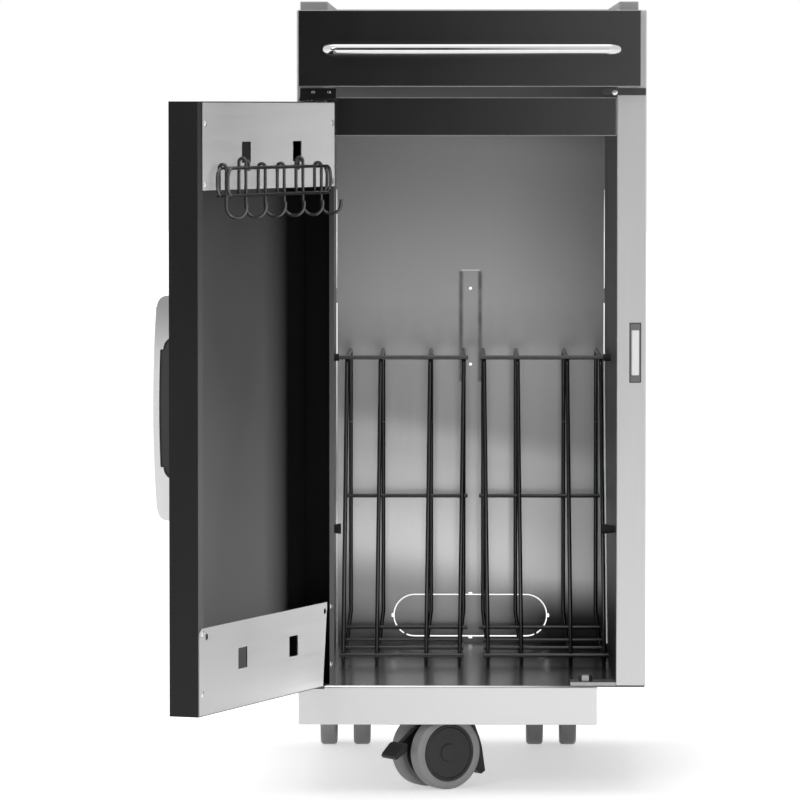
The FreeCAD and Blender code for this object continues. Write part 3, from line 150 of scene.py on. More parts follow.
# %% One method for every other node
class Wiring:
    """A node tree, and the one method that adds a node to it."""

    def __init__(self, tree):
        self.tree = tree

    def node(self, kind, settings=None, out=0, **sockets):
        """A node: its settings first, then its sockets, which are named or, as _7, numbered."""
        made = self.tree.nodes.new(kind)
        for key, value in (settings or {}).items():
            if key == "stops":
                set_stops(made.color_ramp, value)
            else:
                setattr(made, key, value)
        for key, value in sockets.items():
            slot = int(key[1:]) if key[0] == "_" else key.replace("_", " ")
            connect(self.tree, made.inputs[slot], value)
        return Field(self.tree, made.outputs[out]) if made.outputs else made

    def split(self, vector):
        """The three numbers of a vector."""
        parts = self.node("ShaderNodeSeparateXYZ", Vector=vector).socket.node.outputs
        return [Field(self.tree, part) for part in parts]

    def place(self):
        """The piece's own three coordinates."""
        return self.split(self.node("ShaderNodeTexCoord", out="Object"))

    def seen_or_mirrored(self):
        """1 for what the camera, a mirror or a glass sees, and 0 for light that falls on things."""
        path = self.node("ShaderNodeLightPath").socket.node.outputs
        names = ("Is Camera Ray", "Is Glossy Ray", "Is Transmission Ray")
        camera, mirror, glass = (Field(self.tree, path[name]) for name in names)
        return (camera + mirror + glass).clamped()


def set_stops(ramp, stops):
    """Greys along a colour ramp, each as (place, level), eased from one to the next."""
    ramp.interpolation = "EASE"
    while len(ramp.elements) < len(stops):
        ramp.elements.new(0.5)
    for stop, (spot, level) in zip(ramp.elements, stops):
        stop.position = spot
        stop.color = (level, level, level, 1.0)


class Finish(Wiring):
    """One material: a Principled shader and what feeds it."""

    def __init__(self, name, **fixed):
        self.material = bpy.data.materials.new(name)
        self.material.use_nodes = True
        super().__init__(self.material.node_tree)
        self.shader = self.tree.nodes["Principled BSDF"]
        self.set(**fixed)

    def set(self, **values):
        for key, value in values.items():
            connect(self.tree, self.shader.inputs[key.replace("_", " ")], value)

    def colour(self):
        """The field that feeds the colour so far."""
        return Field(self.tree, self.shader.inputs["Base Color"].links[0].from_socket)

    def grain(self, stretch, turn=0.0, size=1.0, detail=3.0, rough=0.5):
        """Noise from 0 to 1 on the piece's own coordinates, drawn out where stretch is small."""
        place = self.node("ShaderNodeTexCoord", out="Object")
        rotated = self.node("ShaderNodeMapping", Vector=place, Rotation=(0.0, 0.0, turn))
        scaled = self.node("ShaderNodeMapping", Vector=rotated, Scale=stretch)
        return self.node("ShaderNodeTexNoise", Vector=scaled, Scale=size, Detail=detail, Roughness=rough)

    def blend(self, amount, first, second, way="MIX"):
        """A colour between two others, or their product."""
        kind = {"data_type": "RGBA", "blend_type": way}
        return self.node("ShaderNodeMix", kind, out=2, _0=amount, _6=first, _7=second)

    def bumped(self, height, distance, strength=1.0):
        """Turns a height field into the shader's normal."""
        bump = self.node("ShaderNodeBump", Height=height, Distance=distance, Strength=strength)
        self.set(Normal=bump)


def grey(level):
    """A grey written as the eye sees it, 0 to 255, turned into the linear light that shaders use."""
    share = level / 255
    linear = share / 12.92 if share <= 0.04045 else ((share + 0.055) / 1.055) ** 2.4
    return (linear, linear, linear, 1.0)


WHITE = (1.0, 1.0, 1.0, 1.0)
print("middle grey is", round(grey(128)[0], 3), "in linear light")

# %% [markdown]
# ## Finishes
# Brushed sheet has long scratches in one direction. They show as streaks in colour and in gloss, and as a
# very shallow relief. The same recipe, with its grain turned or its greys moved, gives every bare metal
# sheet here.

# %% Brushed and rolled sheet metal
ALONG_Z = (2200.0, 2200.0, 9.0)
ALONG_X = (9.0, 2200.0, 2200.0)
CLOUDS = (7.0, 7.0, 3.0)


def brushed(name, dark, light, roughness, stretch=ALONG_Z, turn=0.0, metallic=1.0):
    """Metal sheet with a fine grain one way and slow clouds of handling over it."""
    metal = Finish(name, Metallic=metallic)
    scratch = metal.grain(stretch, turn, detail=2.0)
    cloud = metal.grain(CLOUDS, turn, detail=2.0)
    mixed = (scratch * 0.6 + cloud * 0.4).clamped()
    metal.set(Base_Color=metal.blend(mixed, grey(dark), grey(light)))
    metal.set(Roughness=scratch * 0.14 + cloud * 0.06 + (roughness - 0.1))
    metal.bumped(scratch, 0.00002, 0.35)
    return metal


upright_steel = brushed("upright_steel", 194, 212, 0.36).material
skirt_steel = brushed("skirt_steel", 212, 226, 0.4, ALONG_X).material
rail_steel = brushed("rail_steel", 160, 180, 0.42, ALONG_X).material
pale_liner_steel = brushed("pale_liner_steel", 176, 196, 0.42, metallic=0.6).material
bare_steel = brushed("bare_steel", 244, 252, 0.4).material
magnet_steel = brushed("magnet_steel", 232, 244, 0.4, metallic=0.3).material
print("sheet finishes:", [m.name for m in (upright_steel, skirt_steel, rail_steel, bare_steel)])

# %% [markdown]
# The right liner, the floor and the door's plates carry painted shade. A colour ramp, read along the sheet,
# multiplies the metal's colour by a row of greys, so each tone stays where it is when the camera moves: the
# right liner is painted darker at its foot, the floor towards the right, and the plates towards their free
# edge. A ramp is read from 0 to 1, so the place along the floor and the plates is shifted into that range
# first.

# %% Painted shade along a sheet
PLATE_SHADE_RAMP = ((0.0, 0.58), (1.0, 1.0))
LINER_SHADE_RAMP = ((0.14, 0.3), (0.24, 1.0))
FLOOR_SHADE_RAMP = ((0.42, 1.0), (0.55, 0.76), (0.62, 0.5), (0.7, 0.12))


def toned(metal, amount, stops, tilt=1.0):
    """Paints shade on a metal: multiplies its colour by a ramp of greys, read at amount, and by tilt."""
    tone = metal.node("ShaderNodeValToRGB", {"stops": stops}, Fac=amount)
    metal.set(Base_Color=metal.blend(1.0, metal.colour(), tone * tilt, "MULTIPLY"))
    return metal


# The right liner is a darker copy of the liner steel, a painted shade, and is painted darker still at its
# foot.
liner_steel = brushed("liner_steel", 84, 104, 0.4)
liner_steel = toned(liner_steel, liner_steel.place()[2], LINER_SHADE_RAMP).material
# The floor is painted darker towards the right, a painted shade.
floor_steel = brushed("floor_steel", 208, 230, 0.2, ALONG_X)
floor_steel = toned(floor_steel, floor_steel.place()[0] + 0.5, FLOOR_SHADE_RAMP).material
# The plates are painted darker towards their free edge, a painted shade.
plate_steel = brushed("plate_steel", 174, 192, 0.36, ALONG_X, -DOOR_OPEN)
plate_steel = toned(plate_steel, plate_steel.place()[1] * 2.8 + 1.28, PLATE_SHADE_RAMP).material
print("toned sheets:", [m.name for m in (liner_steel, floor_steel, plate_steel)])

# %% [markdown]
# The back wall shows the most. Its tones are painted shade and light: dark at the foot, brightest a little
# above it, darker upwards with a dark band at the height of the racks' tops, and changing across. Painted
# shade lies in the grooves of its pressed strip, a painted highlight on the strip's top edge, and a painted
# shadow low in the right corner. Each mark is a mask: a distance from the mark's middle, made steep by a
# large factor and clamped to the range from 0 to 1.

# %% The back wall
WALL_SHADE_RAMP = (
    (0.1, 0.16),
    (0.17, 0.42),
    (0.23, 0.84),
    (0.31, 0.62),
    (0.36, 0.52),
    (0.4, 0.34),
    (0.5, 0.38),
    (0.74, 0.24),
    (0.82, 0.09),
)
STRIP_MIDDLE, STRIP_HALF, STRIP_LOW, STRIP_HIGH = 0.0736, 0.0118, 0.446, 0.585
CORNER_LEFT, CORNER_TOP = 0.078, 0.203


def paint_wall_shading(metal):
    """Paints shade and light on the wall: bands by height and across, shade in the strip's grooves, a
    highlight on the strip's top edge and a shadow in the low right corner.
    """
    across, _, height = metal.place()
    drift = metal.grain((5.0, 5.0, 2.2), detail=1.0)
    # Painted shade and light: bands by height and a slope across the wall.
    tilt = 1.08 - across * (1.3 - height * 1.6)
    toned(metal, height + drift * 0.04 + across * 0.16 - 0.03, WALL_SHADE_RAMP, tilt)
    # Painted shade along the sides of the pressed strip, broken up by noise.
    beside = (across - STRIP_MIDDLE).math("ABSOLUTE")
    inside = ((height - STRIP_LOW) * 400.0).clamped() * ((STRIP_HIGH - height) * 400.0).clamped()
    shade_breakup = (metal.grain((60.0, 60.0, 60.0), detail=2.0) + 0.35).clamped()
    groove = (1.0 - (beside - STRIP_HALF).math("ABSOLUTE") * 250.0).clamped() * inside * shade_breakup
    # A painted highlight along the strip's top edge.
    crease = (1.0 - (height - STRIP_HIGH).math("ABSOLUTE") * 1100.0).clamped()
    crease = crease * ((STRIP_HALF - beside) * 900.0).clamped()
    # A painted shadow in the low right corner.
    corner = ((across - CORNER_LEFT) * 11.0).clamped() * ((CORNER_TOP - height) * 20.0).clamped()
    painted_shade = (groove * 0.8).math("MAXIMUM", corner * 0.93)
    marked = metal.blend(painted_shade, metal.colour(), grey(30))
    metal.set(Base_Color=metal.blend(crease * 0.7, marked, grey(235)))
    return metal


wall_steel = paint_wall_shading(brushed("wall_steel", 216, 238, 0.4)).material
print("wall nodes:", len(wall_steel.node_tree.nodes))

# %% [markdown]
# Zinc plating is made of soft crystals and dulls in patches, so its grain has no direction. Chrome needs
# little: it shows the room, with the faintest haze. The handle is a bright casting whose top is painted
# darker, a painted shade.


# %% Zinc, chrome and cast metal
def plated(name, dark, light, roughness, size):
    """Metal with a grain of that many crystals to a metre, the same in every direction."""
    metal = Finish(name, Metallic=1.0)
    patch = metal.grain((size, size, size), detail=4.0, rough=0.6)
    metal.set(Base_Color=metal.blend(patch, grey(dark), grey(light)))
    metal.set(Roughness=patch * 0.16 + (roughness - 0.08))
    metal.bumped(patch, 0.00004, 0.3)
    return metal


HANDLE_SHADE_RAMP = ((0.49, 1.0), (0.58, 0.48))
zinc = plated("zinc_plate", 150, 184, 0.36, 160.0).material
bright_zinc = plated("bright_zinc", 205, 232, 0.28, 240.0).material
chrome = plated("chrome_bar", 200, 212, 0.06, 60.0).material
cast_silver = plated("cast_silver", 216, 232, 0.4, 900.0)
# The handle's top is painted darker, a painted shade.
cast_silver = toned(cast_silver, cast_silver.place()[2], HANDLE_SHADE_RAMP).material
print("plated and cast:", [m.name for m in (zinc, bright_zinc, chrome, cast_silver)])

# %% [markdown]
# The door and fascia are black powder enamel: hard and semi-gloss, with the slight waviness that painters
# call orange peel. Rubbed places are a little duller, which keeps a large black face from looking like
# plastic film. Their folds are painted paler, a painted highlight along the bent edges; on the grey catch the
# fold is painted darker instead, a painted shade. A later cell marks the folds with an attribute named fold.


# %% Black enamel
def enamelled(name, dark, light, roughness, gloss, peel=0.00003, fold_grey=None):
    """Black paint: gloss is its specular level, peel its waviness, fold_grey the grey painted on its folds,
    paler for a painted highlight, darker for a painted shade.
    """
    paint = Finish(name, Metallic=0.0, Specular_IOR_Level=gloss)
    rub = paint.grain((9.0, 9.0, 5.0), detail=3.0)
    colour = paint.blend(rub, grey(dark), grey(light))
    if fold_grey:
        edge = paint.node("ShaderNodeAttribute", {"attribute_name": "fold"}, out=2)
        colour = paint.blend((edge * (rub + 0.45)).clamped(), colour, grey(fold_grey))
    paint.set(Base_Color=colour, Roughness=rub * 0.12 + (roughness - 0.06))
    if peel:
        paint.bumped(paint.grain((420.0, 420.0, 420.0), detail=1.0), peel, 0.4)
    return paint.material


# The fascia's folds are painted pale grey, a painted highlight.
black_enamel = enamelled("black_enamel", 12, 18, 0.2, 1.0, 0.000008, fold_grey=150)
# The door's folds are painted grey, a painted highlight.
door_enamel = enamelled("door_enamel", 10, 17, 0.34, 0.3, 0.0, fold_grey=84)
wire_coat = enamelled("wire_coat", 14, 24, 0.2, 1.0, 0.00003)
# The hooks' coat is painted lighter than the racks' wire, a painted reflection of the white studio.
hook_coat = enamelled("hook_coat", 42, 58, 0.28, 1.0, 0.00003)
grip_coat = enamelled("grip_coat", 52, 62, 0.5, 0.3)
# The catch's rim is painted dark, a painted shade where it meets the upright.
catch_plastic = enamelled("catch_plastic", 112, 128, 0.5, 0.4, fold_grey=44)
print("black enamel is", round(grey(12)[0], 4), "to", round(grey(18)[0], 4), "in linear light")

# %% [markdown]
# The casters are moulded nylon and rubber. A fine spark-eroded grain breaks up the light, and the tyres
# carry pale scuffs where they roll.


# %% Nylon, rubber and tyres
def moulded(name, dark, light, roughness, size, relief, scuff=0.0):
    """Plastic or rubber with a fine grain of the given size to a metre and pale scuffs over it."""
    plastic = Finish(name, Metallic=0.0, Specular_IOR_Level=0.4)
    fine = plastic.grain((size, size, size), detail=2.0)
    wide = plastic.grain((38.0, 38.0, 38.0), detail=4.0, rough=0.65)
    tone = (fine * 0.35 + wide * (0.65 + scuff)).clamped()
    plastic.set(Base_Color=plastic.blend(tone, grey(dark), grey(light)))
    plastic.set(Roughness=wide * 0.2 + (roughness - 0.1))
    plastic.bumped(fine, relief, 0.5)
    return plastic.material


nylon = moulded("black_nylon", 12, 22, 0.48, 1400.0, 0.00005)
rubber = moulded("black_rubber", 18, 30, 0.7, 1800.0, 0.00006)
wheel_plastic = moulded("wheel_plastic", 38, 50, 0.5, 1300.0, 0.00005)
tyre_rubber = moulded("tyre_rubber", 142, 168, 0.42, 900.0, 0.00006, 0.2)
print("materials:", len(bpy.data.materials))

# %% [markdown]
# ## Soft folds
# Folded sheet has round bends, and those bends, with a highlight painted on them, draw the thin bright lines
# along the fascia and the door. A bend is easy to round on a clean copy of the CAD piece: its triangles are
# merged back into whole flat faces first.

# %% Clean copies of CAD pieces
SAME_PLACE, FLAT = 0.00002, math.radians(0.6)
made_pieces = []


def add_piece(name, mesh, material, body, slot, *replaced):
    """Puts a finished mesh into the scene and notes the CAD body it belongs to."""
    piece = bpy.data.objects.new(name, mesh)
    bpy.context.scene.collection.objects.link(piece)
    mesh.materials.clear()
    mesh.materials.append(material)
    made_pieces.append((piece, body, slot, replaced))
    return piece


def settled(piece):
    """Turns what the modifiers show into the piece's own mesh."""
    bpy.context.view_layer.update()
    shown = piece.evaluated_get(bpy.context.evaluated_depsgraph_get())
    mesh = bpy.data.meshes.new_from_object(shown)
    piece.modifiers.clear()
    piece.data = mesh
    mesh.name = piece.name
    return piece


def merged_copy(node):
    """The CAD node's triangles, joined, with flat faces made whole."""
    shape = bmesh.new()
    shape.from_mesh(nodes[node].data)
    bmesh.ops.remove_doubles(shape, verts=shape.verts, dist=SAME_PLACE)
    bmesh.ops.dissolve_limit(shape, angle_limit=FLAT, verts=shape.verts, edges=shape.edges)
    return shape


def finish_mesh(shape, name):
    """Writes the shape into a new mesh."""
    mesh = bpy.data.meshes.new(name)
    shape.to_mesh(mesh)
    shape.free()
    return mesh


fascia = merged_copy("front_fascia")
print("fascia corners once merged:", len(fascia.verts), "of", len(nodes["front_fascia"].data.vertices))

# %% [markdown]
# The folds of a sheet piece lie where two sides of its own box meet, so those edges are found by their place
# and rounded. The rounding must not grow past the box. The door was swung open in the CAD, so it is laid flat
# before its edges are sought. Weighted normals keep the large faces flat. The faces of a fold carry the
# attribute by which the enamel paints a highlight or a shade on them.

# %% Find and round the outer folds
NEAR = 0.00005


def own_box(shape):
    """The lowest and the highest corner of the shape's box."""
    spots = [v.co for v in shape.verts]
    return [[side(p[i] for p in spots) for i in range(3)] for side in (min, max)]


def hull_edges(shape):
    """Edges shared by two sides of the shape's own box."""
    box = own_box(shape)

    def sides(vert):
        return {(i, j) for i in range(3) for j in range(2) if abs(vert.co[i] - box[j][i]) < NEAR}

    return [e for e in shape.edges if len(sides(e.verts[0]) & sides(e.verts[1])) >= 2]


def smooth_by_angle(piece, degrees=35.0):
    """Smooth shading that stays crisp at real corners."""
    piece.data.shade_smooth()
    piece.data.set_sharp_from_angle(angle=math.radians(degrees))
    weigh = piece.modifiers.new("weigh", "WEIGHTED_NORMAL")
    weigh.keep_sharp = True
    weigh.weight = 80
    return settled(piece)


def folded(node, material, body, slot, radius, lay_flat=None):
    """A sheet piece with its outer folds rounded; lay_flat is how a swung piece was turned."""
    shape = merged_copy(node)
    if lay_flat:
        shape.transform(lay_flat.inverted())
    fold = shape.faces.layers.float.new("fold")
    box = own_box(shape)
    bend = {"offset": radius * MM, "segments": 4, "profile": 0.5, "affect": "EDGES", "clamp_overlap": False}
    rounded = bmesh.ops.bevel(shape, geom=hull_edges(shape), **bend)
    for face in rounded["faces"]:
        face[fold] = 1.0
    for vert in shape.verts:
        vert.co = [min(max(n, low), high) for n, low, high in zip(vert.co, *box)]
    if lay_flat:
        shape.transform(lay_flat)
    piece = add_piece(node + "_folded", finish_mesh(shape, node), material, body, slot, node)
    return smooth_by_angle(piece)


print("outer folds of the fascia:", len(hull_edges(fascia)))
fascia.free()

# %% [markdown]
# A moulded or cast piece is round at every edge, so a bevel by angle does all of them at once. The calls
# below give each piece its own radius in millimetres: sheet steel bends tightly, the cast handle is softest.

# %% Round the sheet pieces and the mouldings


def eased(piece, width, segments, degrees=35.0):
    """Rounds every edge sharper than the given angle."""
    ease = piece.modifiers.new("ease", "BEVEL")
    ease.width = width * MM
    ease.segments = segments
    ease.limit_method = "ANGLE"
    ease.angle_limit = math.radians(degrees)
    settled(piece)
    return smooth_by_angle(piece, 40.0)


def moulding(node, material, body, slot, width, segments):
    """A moulded or cast piece with every edge eased."""
    mesh = finish_mesh(merged_copy(node), node)
    return eased(add_piece(node + "_eased", mesh, material, body, slot, node), width, segments)


folded("front_fascia", black_enamel, "cabinet", "black_enamel", 0.9)
folded("cross_band", black_enamel, "cabinet", "black_enamel", 0.9)
folded("base_skirt", skirt_steel, "cabinet", "brushed_steel", 1.4)
folded("left_side_panel", upright_steel, "cabinet", "brushed_steel", 1.4)
folded("right_side_panel", upright_steel, "cabinet", "brushed_steel", 1.4)
folded("left_top_rail", rail_steel, "cabinet", "brushed_steel", 1.0)
folded("right_top_rail", rail_steel, "cabinet", "brushed_steel", 1.0)
folded("rear_top_rail", rail_steel, "cabinet", "brushed_steel", 1.0)
door_skin = folded("door_tray", door_enamel, "door", "black_enamel", 1.8, door_to_frame)
moulding("door_handle", cast_silver, "door", "silver_cast", 2.6, 4)
moulding("handle_grip", grip_coat, "door", "black_rubber", 1.6, 3)
folded("catch_housing", catch_plastic, "cabinet", "grey_plastic", 1.2)
moulding("catch_magnet", magnet_steel, "cabinet", "zinc_steel", 1.5, 4)
moulding("front_brake_pedal", nylon, "brake_pedal", "black_nylon", 1.2, 3)
for caster in ("front", "rear_left", "rear_right"):
    moulding(caster + "_fork", nylon, caster + "_caster", "black_nylon", 1.2, 3)
print("softened pieces:", len(made_pieces))

# %% [markdown]
# ## Bent wire
# Everything on the racks and hooks is round wire bent to a few radii. A Geometry Nodes tree fits that rule:
# it takes corner points, rounds each corner by the radius stored on it, and sweeps a circle along the
# result. First comes a small class for such trees. It gives a tree named inputs, and ends it with Realize
# Instances and Set Material, because instances don't outlast an export and new faces have no material.

# %% A tree with named inputs
SOCKETS = {float: "NodeSocketFloat", int: "NodeSocketInt", bpy.types.Material: "NodeSocketMaterial"}


class Tree(Wiring):
    """A Geometry Nodes group with named inputs."""

    def __init__(self, name, **inputs):
        super().__init__(bpy.data.node_groups.new(name, "GeometryNodeTree"))
        face = self.tree.interface
        face.new_socket("Geometry", in_out="INPUT", socket_type="NodeSocketGeometry")
        for key, value in inputs.items():
            kind = SOCKETS[type(value)]
            face.new_socket(key.replace("_", " "), in_out="INPUT", socket_type=kind).default_value = value
        face.new_socket("Geometry", in_out="OUTPUT", socket_type="NodeSocketGeometry")
        self.source = self.node("NodeGroupInput").socket.node

    def given(self, name):
        """What the modifier's user sets."""
        return Field(self.tree, self.source.outputs[name])

    def end(self, geometry):
        """Real geometry with its material, ready to be made a mesh."""
        real = self.node("GeometryNodeRealizeInstances", Geometry=geometry)
        painted = self.node("GeometryNodeSetMaterial", Geometry=real, Material=self.given("Material"))
        self.node("NodeGroupOutput", Geometry=painted)

    def grow(self, name, mesh, body, slot, replaced=(), **values):
        """Runs the tree on a mesh and keeps what it makes as a plain piece."""
        piece = add_piece(name, mesh, values["Material"], body, slot, *replaced)
        modifier = piece.modifiers.new(name, "NODES")
        modifier.node_group = self.tree
        for item in self.tree.interface.items_tree:
            key = item.name.replace(" ", "_")
            if item.in_out == "INPUT" and key in values:
                modifier[item.identifier] = values[key]
        return settled(piece)


print("input kinds:", list(SOCKETS.values()))

# %% [markdown]
# The wire's own tree has three numbers: the wire's radius, the sides of its section and the steps of a bend.
# A bend's radius differs from corner to corner, so it is stored on the points as an attribute.

# %% A tree that bends wire


def wire_tree():
    """Corner points in, round wire out."""
    tree = Tree("bent wire", Wire_radius=0.0025, Sides=12, Corner_steps=6, Material=wire_coat)
    line = tree.node("GeometryNodeMeshToCurve", Mesh=tree.given("Geometry"))
    bend = tree.node("GeometryNodeInputNamedAttribute", {"data_type": "FLOAT"}, Name="bend")
    steps = tree.given("Corner steps")
    fillet = {"Curve": line, "Radius": bend, "Limit_Radius": True, "Count": steps}
    rounded = tree.node("GeometryNodeFilletCurve", {"mode": "POLY"}, **fillet)
    circle = {"Radius": tree.given("Wire radius"), "Resolution": tree.given("Sides")}
    ring = tree.node("GeometryNodeCurvePrimitiveCircle", **circle)
    swept = tree.node("GeometryNodeCurveToMesh", Curve=rounded, Profile_Curve=ring, Fill_Caps=True)
    tree.end(tree.node("GeometryNodeSetShadeSmooth", Geometry=swept))
    return tree


def wire_paths(name, paths):
    """A mesh of open lines. Each path is its points, and the bend at each point in millimetres."""
    mesh = bpy.data.meshes.new(name)
    points, edges, bends = [], [], []
    for path, radii in paths:
        start = len(points)
        points += [tuple(p) for p in path]
        bends += [0.0, *[r * MM for r in radii], 0.0]
        edges += [(start + i, start + i + 1) for i in range(len(path) - 1)]
    mesh.from_pydata(points, edges, [])
    mesh.attributes.new("bend", "FLOAT", "POINT").data.foreach_set("value", bends)
    return mesh


bent_wire = wire_tree()
print("wire nodes:", len(bent_wire.tree.nodes))

# %% [markdown]
# ### The towel bar
# The bar across the fascia is one chromed tube, its two ends bent back through the enamel. It is the same
# rule as the wire, only thicker, so the same tree bends it.

# %% Towel bar from the wire tree
BAR_HALF, BAR_BACK, BAR_OUT, BAR_HIGH = 164.0, -37.9, -70.0, 851.7
BAR_RADIUS, BAR_BEND = 6.0, 12.0
bar_corners = [(-BAR_HALF, BAR_BACK), (-BAR_HALF, BAR_OUT), (BAR_HALF, BAR_OUT), (BAR_HALF, BAR_BACK)]
bar_path = ([on_cabinet(x, y, BAR_HIGH) for x, y in bar_corners], (BAR_BEND, BAR_BEND))
bar_line = wire_paths("towel_bar_tube", [bar_path])
tube = {"Wire_radius": BAR_RADIUS * MM, "Sides": 40, "Corner_steps": 14, "Material": chrome}
bent_wire.grow("towel_bar_tube", bar_line, "cabinet", "chrome", ["towel_bar"], **tube)
print("towel bar faces:", len(made_pieces[-1][0].data.polygons))

# %% [markdown]
# ### The two racks
# Each rack has four upright frames, each one wire: up, forward, down the front leg, back along the floor and
# up again. Six straight wires tie them together. Their sizes are those of the CAD, so the wires land on its
# solids.

# %% Where the rack wires run
WIRE = 5.0
FLOOR_TOP = 122.5
INNER_HALF = 166.0
RACK_FRONT, RACK_BACK, RACK_TOP, RACK_MID, RACK_LOW = 265.0, 502.0, 490.5, 308.0, 145.0
RACK_FOOT = FLOOR_TOP + WIRE / 2
RACK_SPLAY = 5.0
RACK_BEND, FOOT_BEND = 10.0, 8.0
FROM_WALL = {-1: 18.5, 1: 11.5}
FRAME_GAPS = (40.0, 59.0, 40.0)
FOOT_RISE = 40.0
STEP = WIRE + 0.05
FOOT_TIES = (RACK_FRONT + 120.0, RACK_BACK - WIRE * 3)
seat = (RACK_BEND + STEP) * math.sqrt(0.5)
top_wire = (RACK_FRONT + RACK_BEND - seat, RACK_TOP - WIRE / 2 - RACK_BEND + seat)


def rack_spots(side):
    """Where the four frames of a rack stand, from its wall inwards."""
    spots = [INNER_HALF - FROM_WALL[side]]
    for gap in FRAME_GAPS:
        spots.append(spots[-1] - gap)
    return [spot * side for spot in spots]


def rack_frame(x, side):
    """The one wire of a frame that stands at x."""
    foot = x + RACK_SPLAY * side
    top = RACK_TOP - WIRE / 2
    middle = (RACK_MID + RACK_TOP) / 2
    corners = [
        (x, RACK_BACK, middle),
        (x, RACK_BACK, top),
        (x, RACK_FRONT, top),
        (foot, RACK_FRONT, RACK_FOOT),
        (foot, RACK_BACK, RACK_FOOT),
        (x, RACK_BACK, RACK_FOOT + FOOT_RISE),
        (x, RACK_BACK, middle - 0.4),
    ]
    return [on_cabinet(*p) for p in corners], (RACK_BEND, RACK_BEND, FOOT_BEND, FOOT_BEND, RACK_BEND)


def rack_wires(side):
    """The straight wires: their two ends across the cabinet, and their place back and up."""
    spots = rack_spots(side)
    inner, outer = spots[-1], spots[0]
    past = WIRE * side
    foot_in, foot_out = inner + RACK_SPLAY * side - past, outer + RACK_SPLAY * side + past
    return [
        (inner - past, (INNER_HALF - 0.2) * side, *top_wire),
        (inner - past, outer + past, RACK_BACK - STEP, RACK_MID),
        (foot_in, foot_out, RACK_FRONT - STEP, RACK_FOOT + FOOT_BEND),
        *[(foot_in, foot_out, y, RACK_FOOT + STEP) for y in FOOT_TIES],
        (inner - past, outer + past, RACK_BACK - STEP, RACK_LOW),
    ]


print("top wire at", [round(n, 2) for n in top_wire], "frames at", rack_spots(1))

# %% Racks from bent wire
rack_wire = {"Wire_radius": WIRE / 2 * MM, "Sides": 12, "Corner_steps": 6, "Material": wire_coat}
for rack, side in (("left_rack", -1), ("right_rack", 1)):
    name = rack + "_frames"
    frames = wire_paths(name, [rack_frame(x, side) for x in rack_spots(side)])
    bent_wire.grow(name, frames, "cabinet", "black_wire", [rack + "_dividers"], **rack_wire)
    name = rack + "_ties"
    ties = [([on_cabinet(a, y, z), on_cabinet(b, y, z)], ()) for a, b, y, z in rack_wires(side)]
    ties = wire_paths(name, ties)
    bent_wire.grow(name, ties, "cabinet", "black_wire", [rack + "_cross_wires"], **rack_wire)
print("racks:", [len(piece.data.polygons) for piece, *_ in made_pieces[-4:]])

# %% [markdown]
# ### Welds
# Crossed wires are resistance-welded: the metal squeezes out into a small bead on each side of the crossing,
# and the coating runs over it. One tree puts a low blob on every crossing point, each a little larger or
# smaller than the next.

# %% Weld beads where wires cross


def bead_tree():
    """Points in, a bead on each."""
    tree = Tree("weld beads", Bead_radius=0.002, Seed=3, Material=wire_coat)
    blob = tree.node("GeometryNodeMeshIcoSphere", Radius=1.0, Subdivisions=2)
    kind = {"data_type": "FLOAT"}
    share = tree.node("FunctionNodeRandomValue", kind, out=1, _2=0.85, _3=1.15, Seed=tree.given("Seed"))
    size = share * tree.given("Bead radius")
    points = tree.given("Geometry")
    placed = tree.node("GeometryNodeInstanceOnPoints", Points=points, Instance=blob, Scale=size)
    tree.end(tree.node("GeometryNodeSetShadeSmooth", Geometry=placed))
    return tree


def spots_mesh(name, spots):
    """A mesh of loose points."""
    mesh = bpy.data.meshes.new(name)
    mesh.from_pydata([tuple(p) for p in spots], [], [])
    return mesh


weld_beads = bead_tree()
half_step = STEP / 2
welds = []
for side in (-1, 1):
    for x in rack_spots(side):
        foot = x + RACK_SPLAY * side
        lean = foot - RACK_SPLAY * side * (FOOT_BEND / (RACK_TOP - RACK_FOOT))
        welds += [
            on_cabinet(x, RACK_BACK - half_step, RACK_MID),
            on_cabinet(x, RACK_BACK - half_step, RACK_LOW),
            on_cabinet(lean, RACK_FRONT - half_step, RACK_FOOT + FOOT_BEND),
            *[on_cabinet(foot, y, RACK_FOOT + half_step) for y in FOOT_TIES],
        ]
beads = spots_mesh("rack_welds", welds)
bead = {"Bead_radius": 0.0024, "Seed": 3, "Material": wire_coat}
weld_beads.grow("rack_welds", beads, "cabinet", "black_wire", **bead)
print("rack welds:", len(welds))

# %% [markdown]
# ### The hook rack
# Two long loops hang from the door's upper plate by two short hangers. Six hooks are bent over both loops.
# They use the same wire tree with a thinner wire.

# %% Where the hook rack's wires run
HOOK_WIRE = 3.6
hook_radius = HOOK_WIRE / 2
hook_step = HOOK_WIRE + 0.05
DOOR_INSIDE, PLATE_THICK, WIRE_FROM_PLATE = 24.0, 1.2, 2.1
LOOPS_APART = 8.3
leg_back = DOOR_INSIDE + PLATE_THICK + WIRE_FROM_PLATE
leg_front = leg_back + LOOPS_APART
HOOK_LOW, HOOK_HIGH = 690.3, 720.1
HOOK_FOOT, HOOK_TIP, HOOK_OUT = 664.5, 682.5, 24.0
LOOP_BEND, HOOK_BEND = 12.0, 11.5
SLOT_HIGH, SLOT_TALL, HANGER_DROP = 737.0, 23.0, 6.0


def hook_loop(near, far, y):
    """A long flat loop, closed in the middle of its lower side."""
    middle = (near + far) / 2
    corners = [
        (middle + 0.2, y, HOOK_LOW),
        (far, y, HOOK_LOW),
        (far, y, HOOK_HIGH),
        (near, y, HOOK_HIGH),
        (near, y, HOOK_LOW),
        (middle - 0.2, y, HOOK_LOW),
    ]
    return [on_door(*p) for p in corners], (LOOP_BEND,) * 4


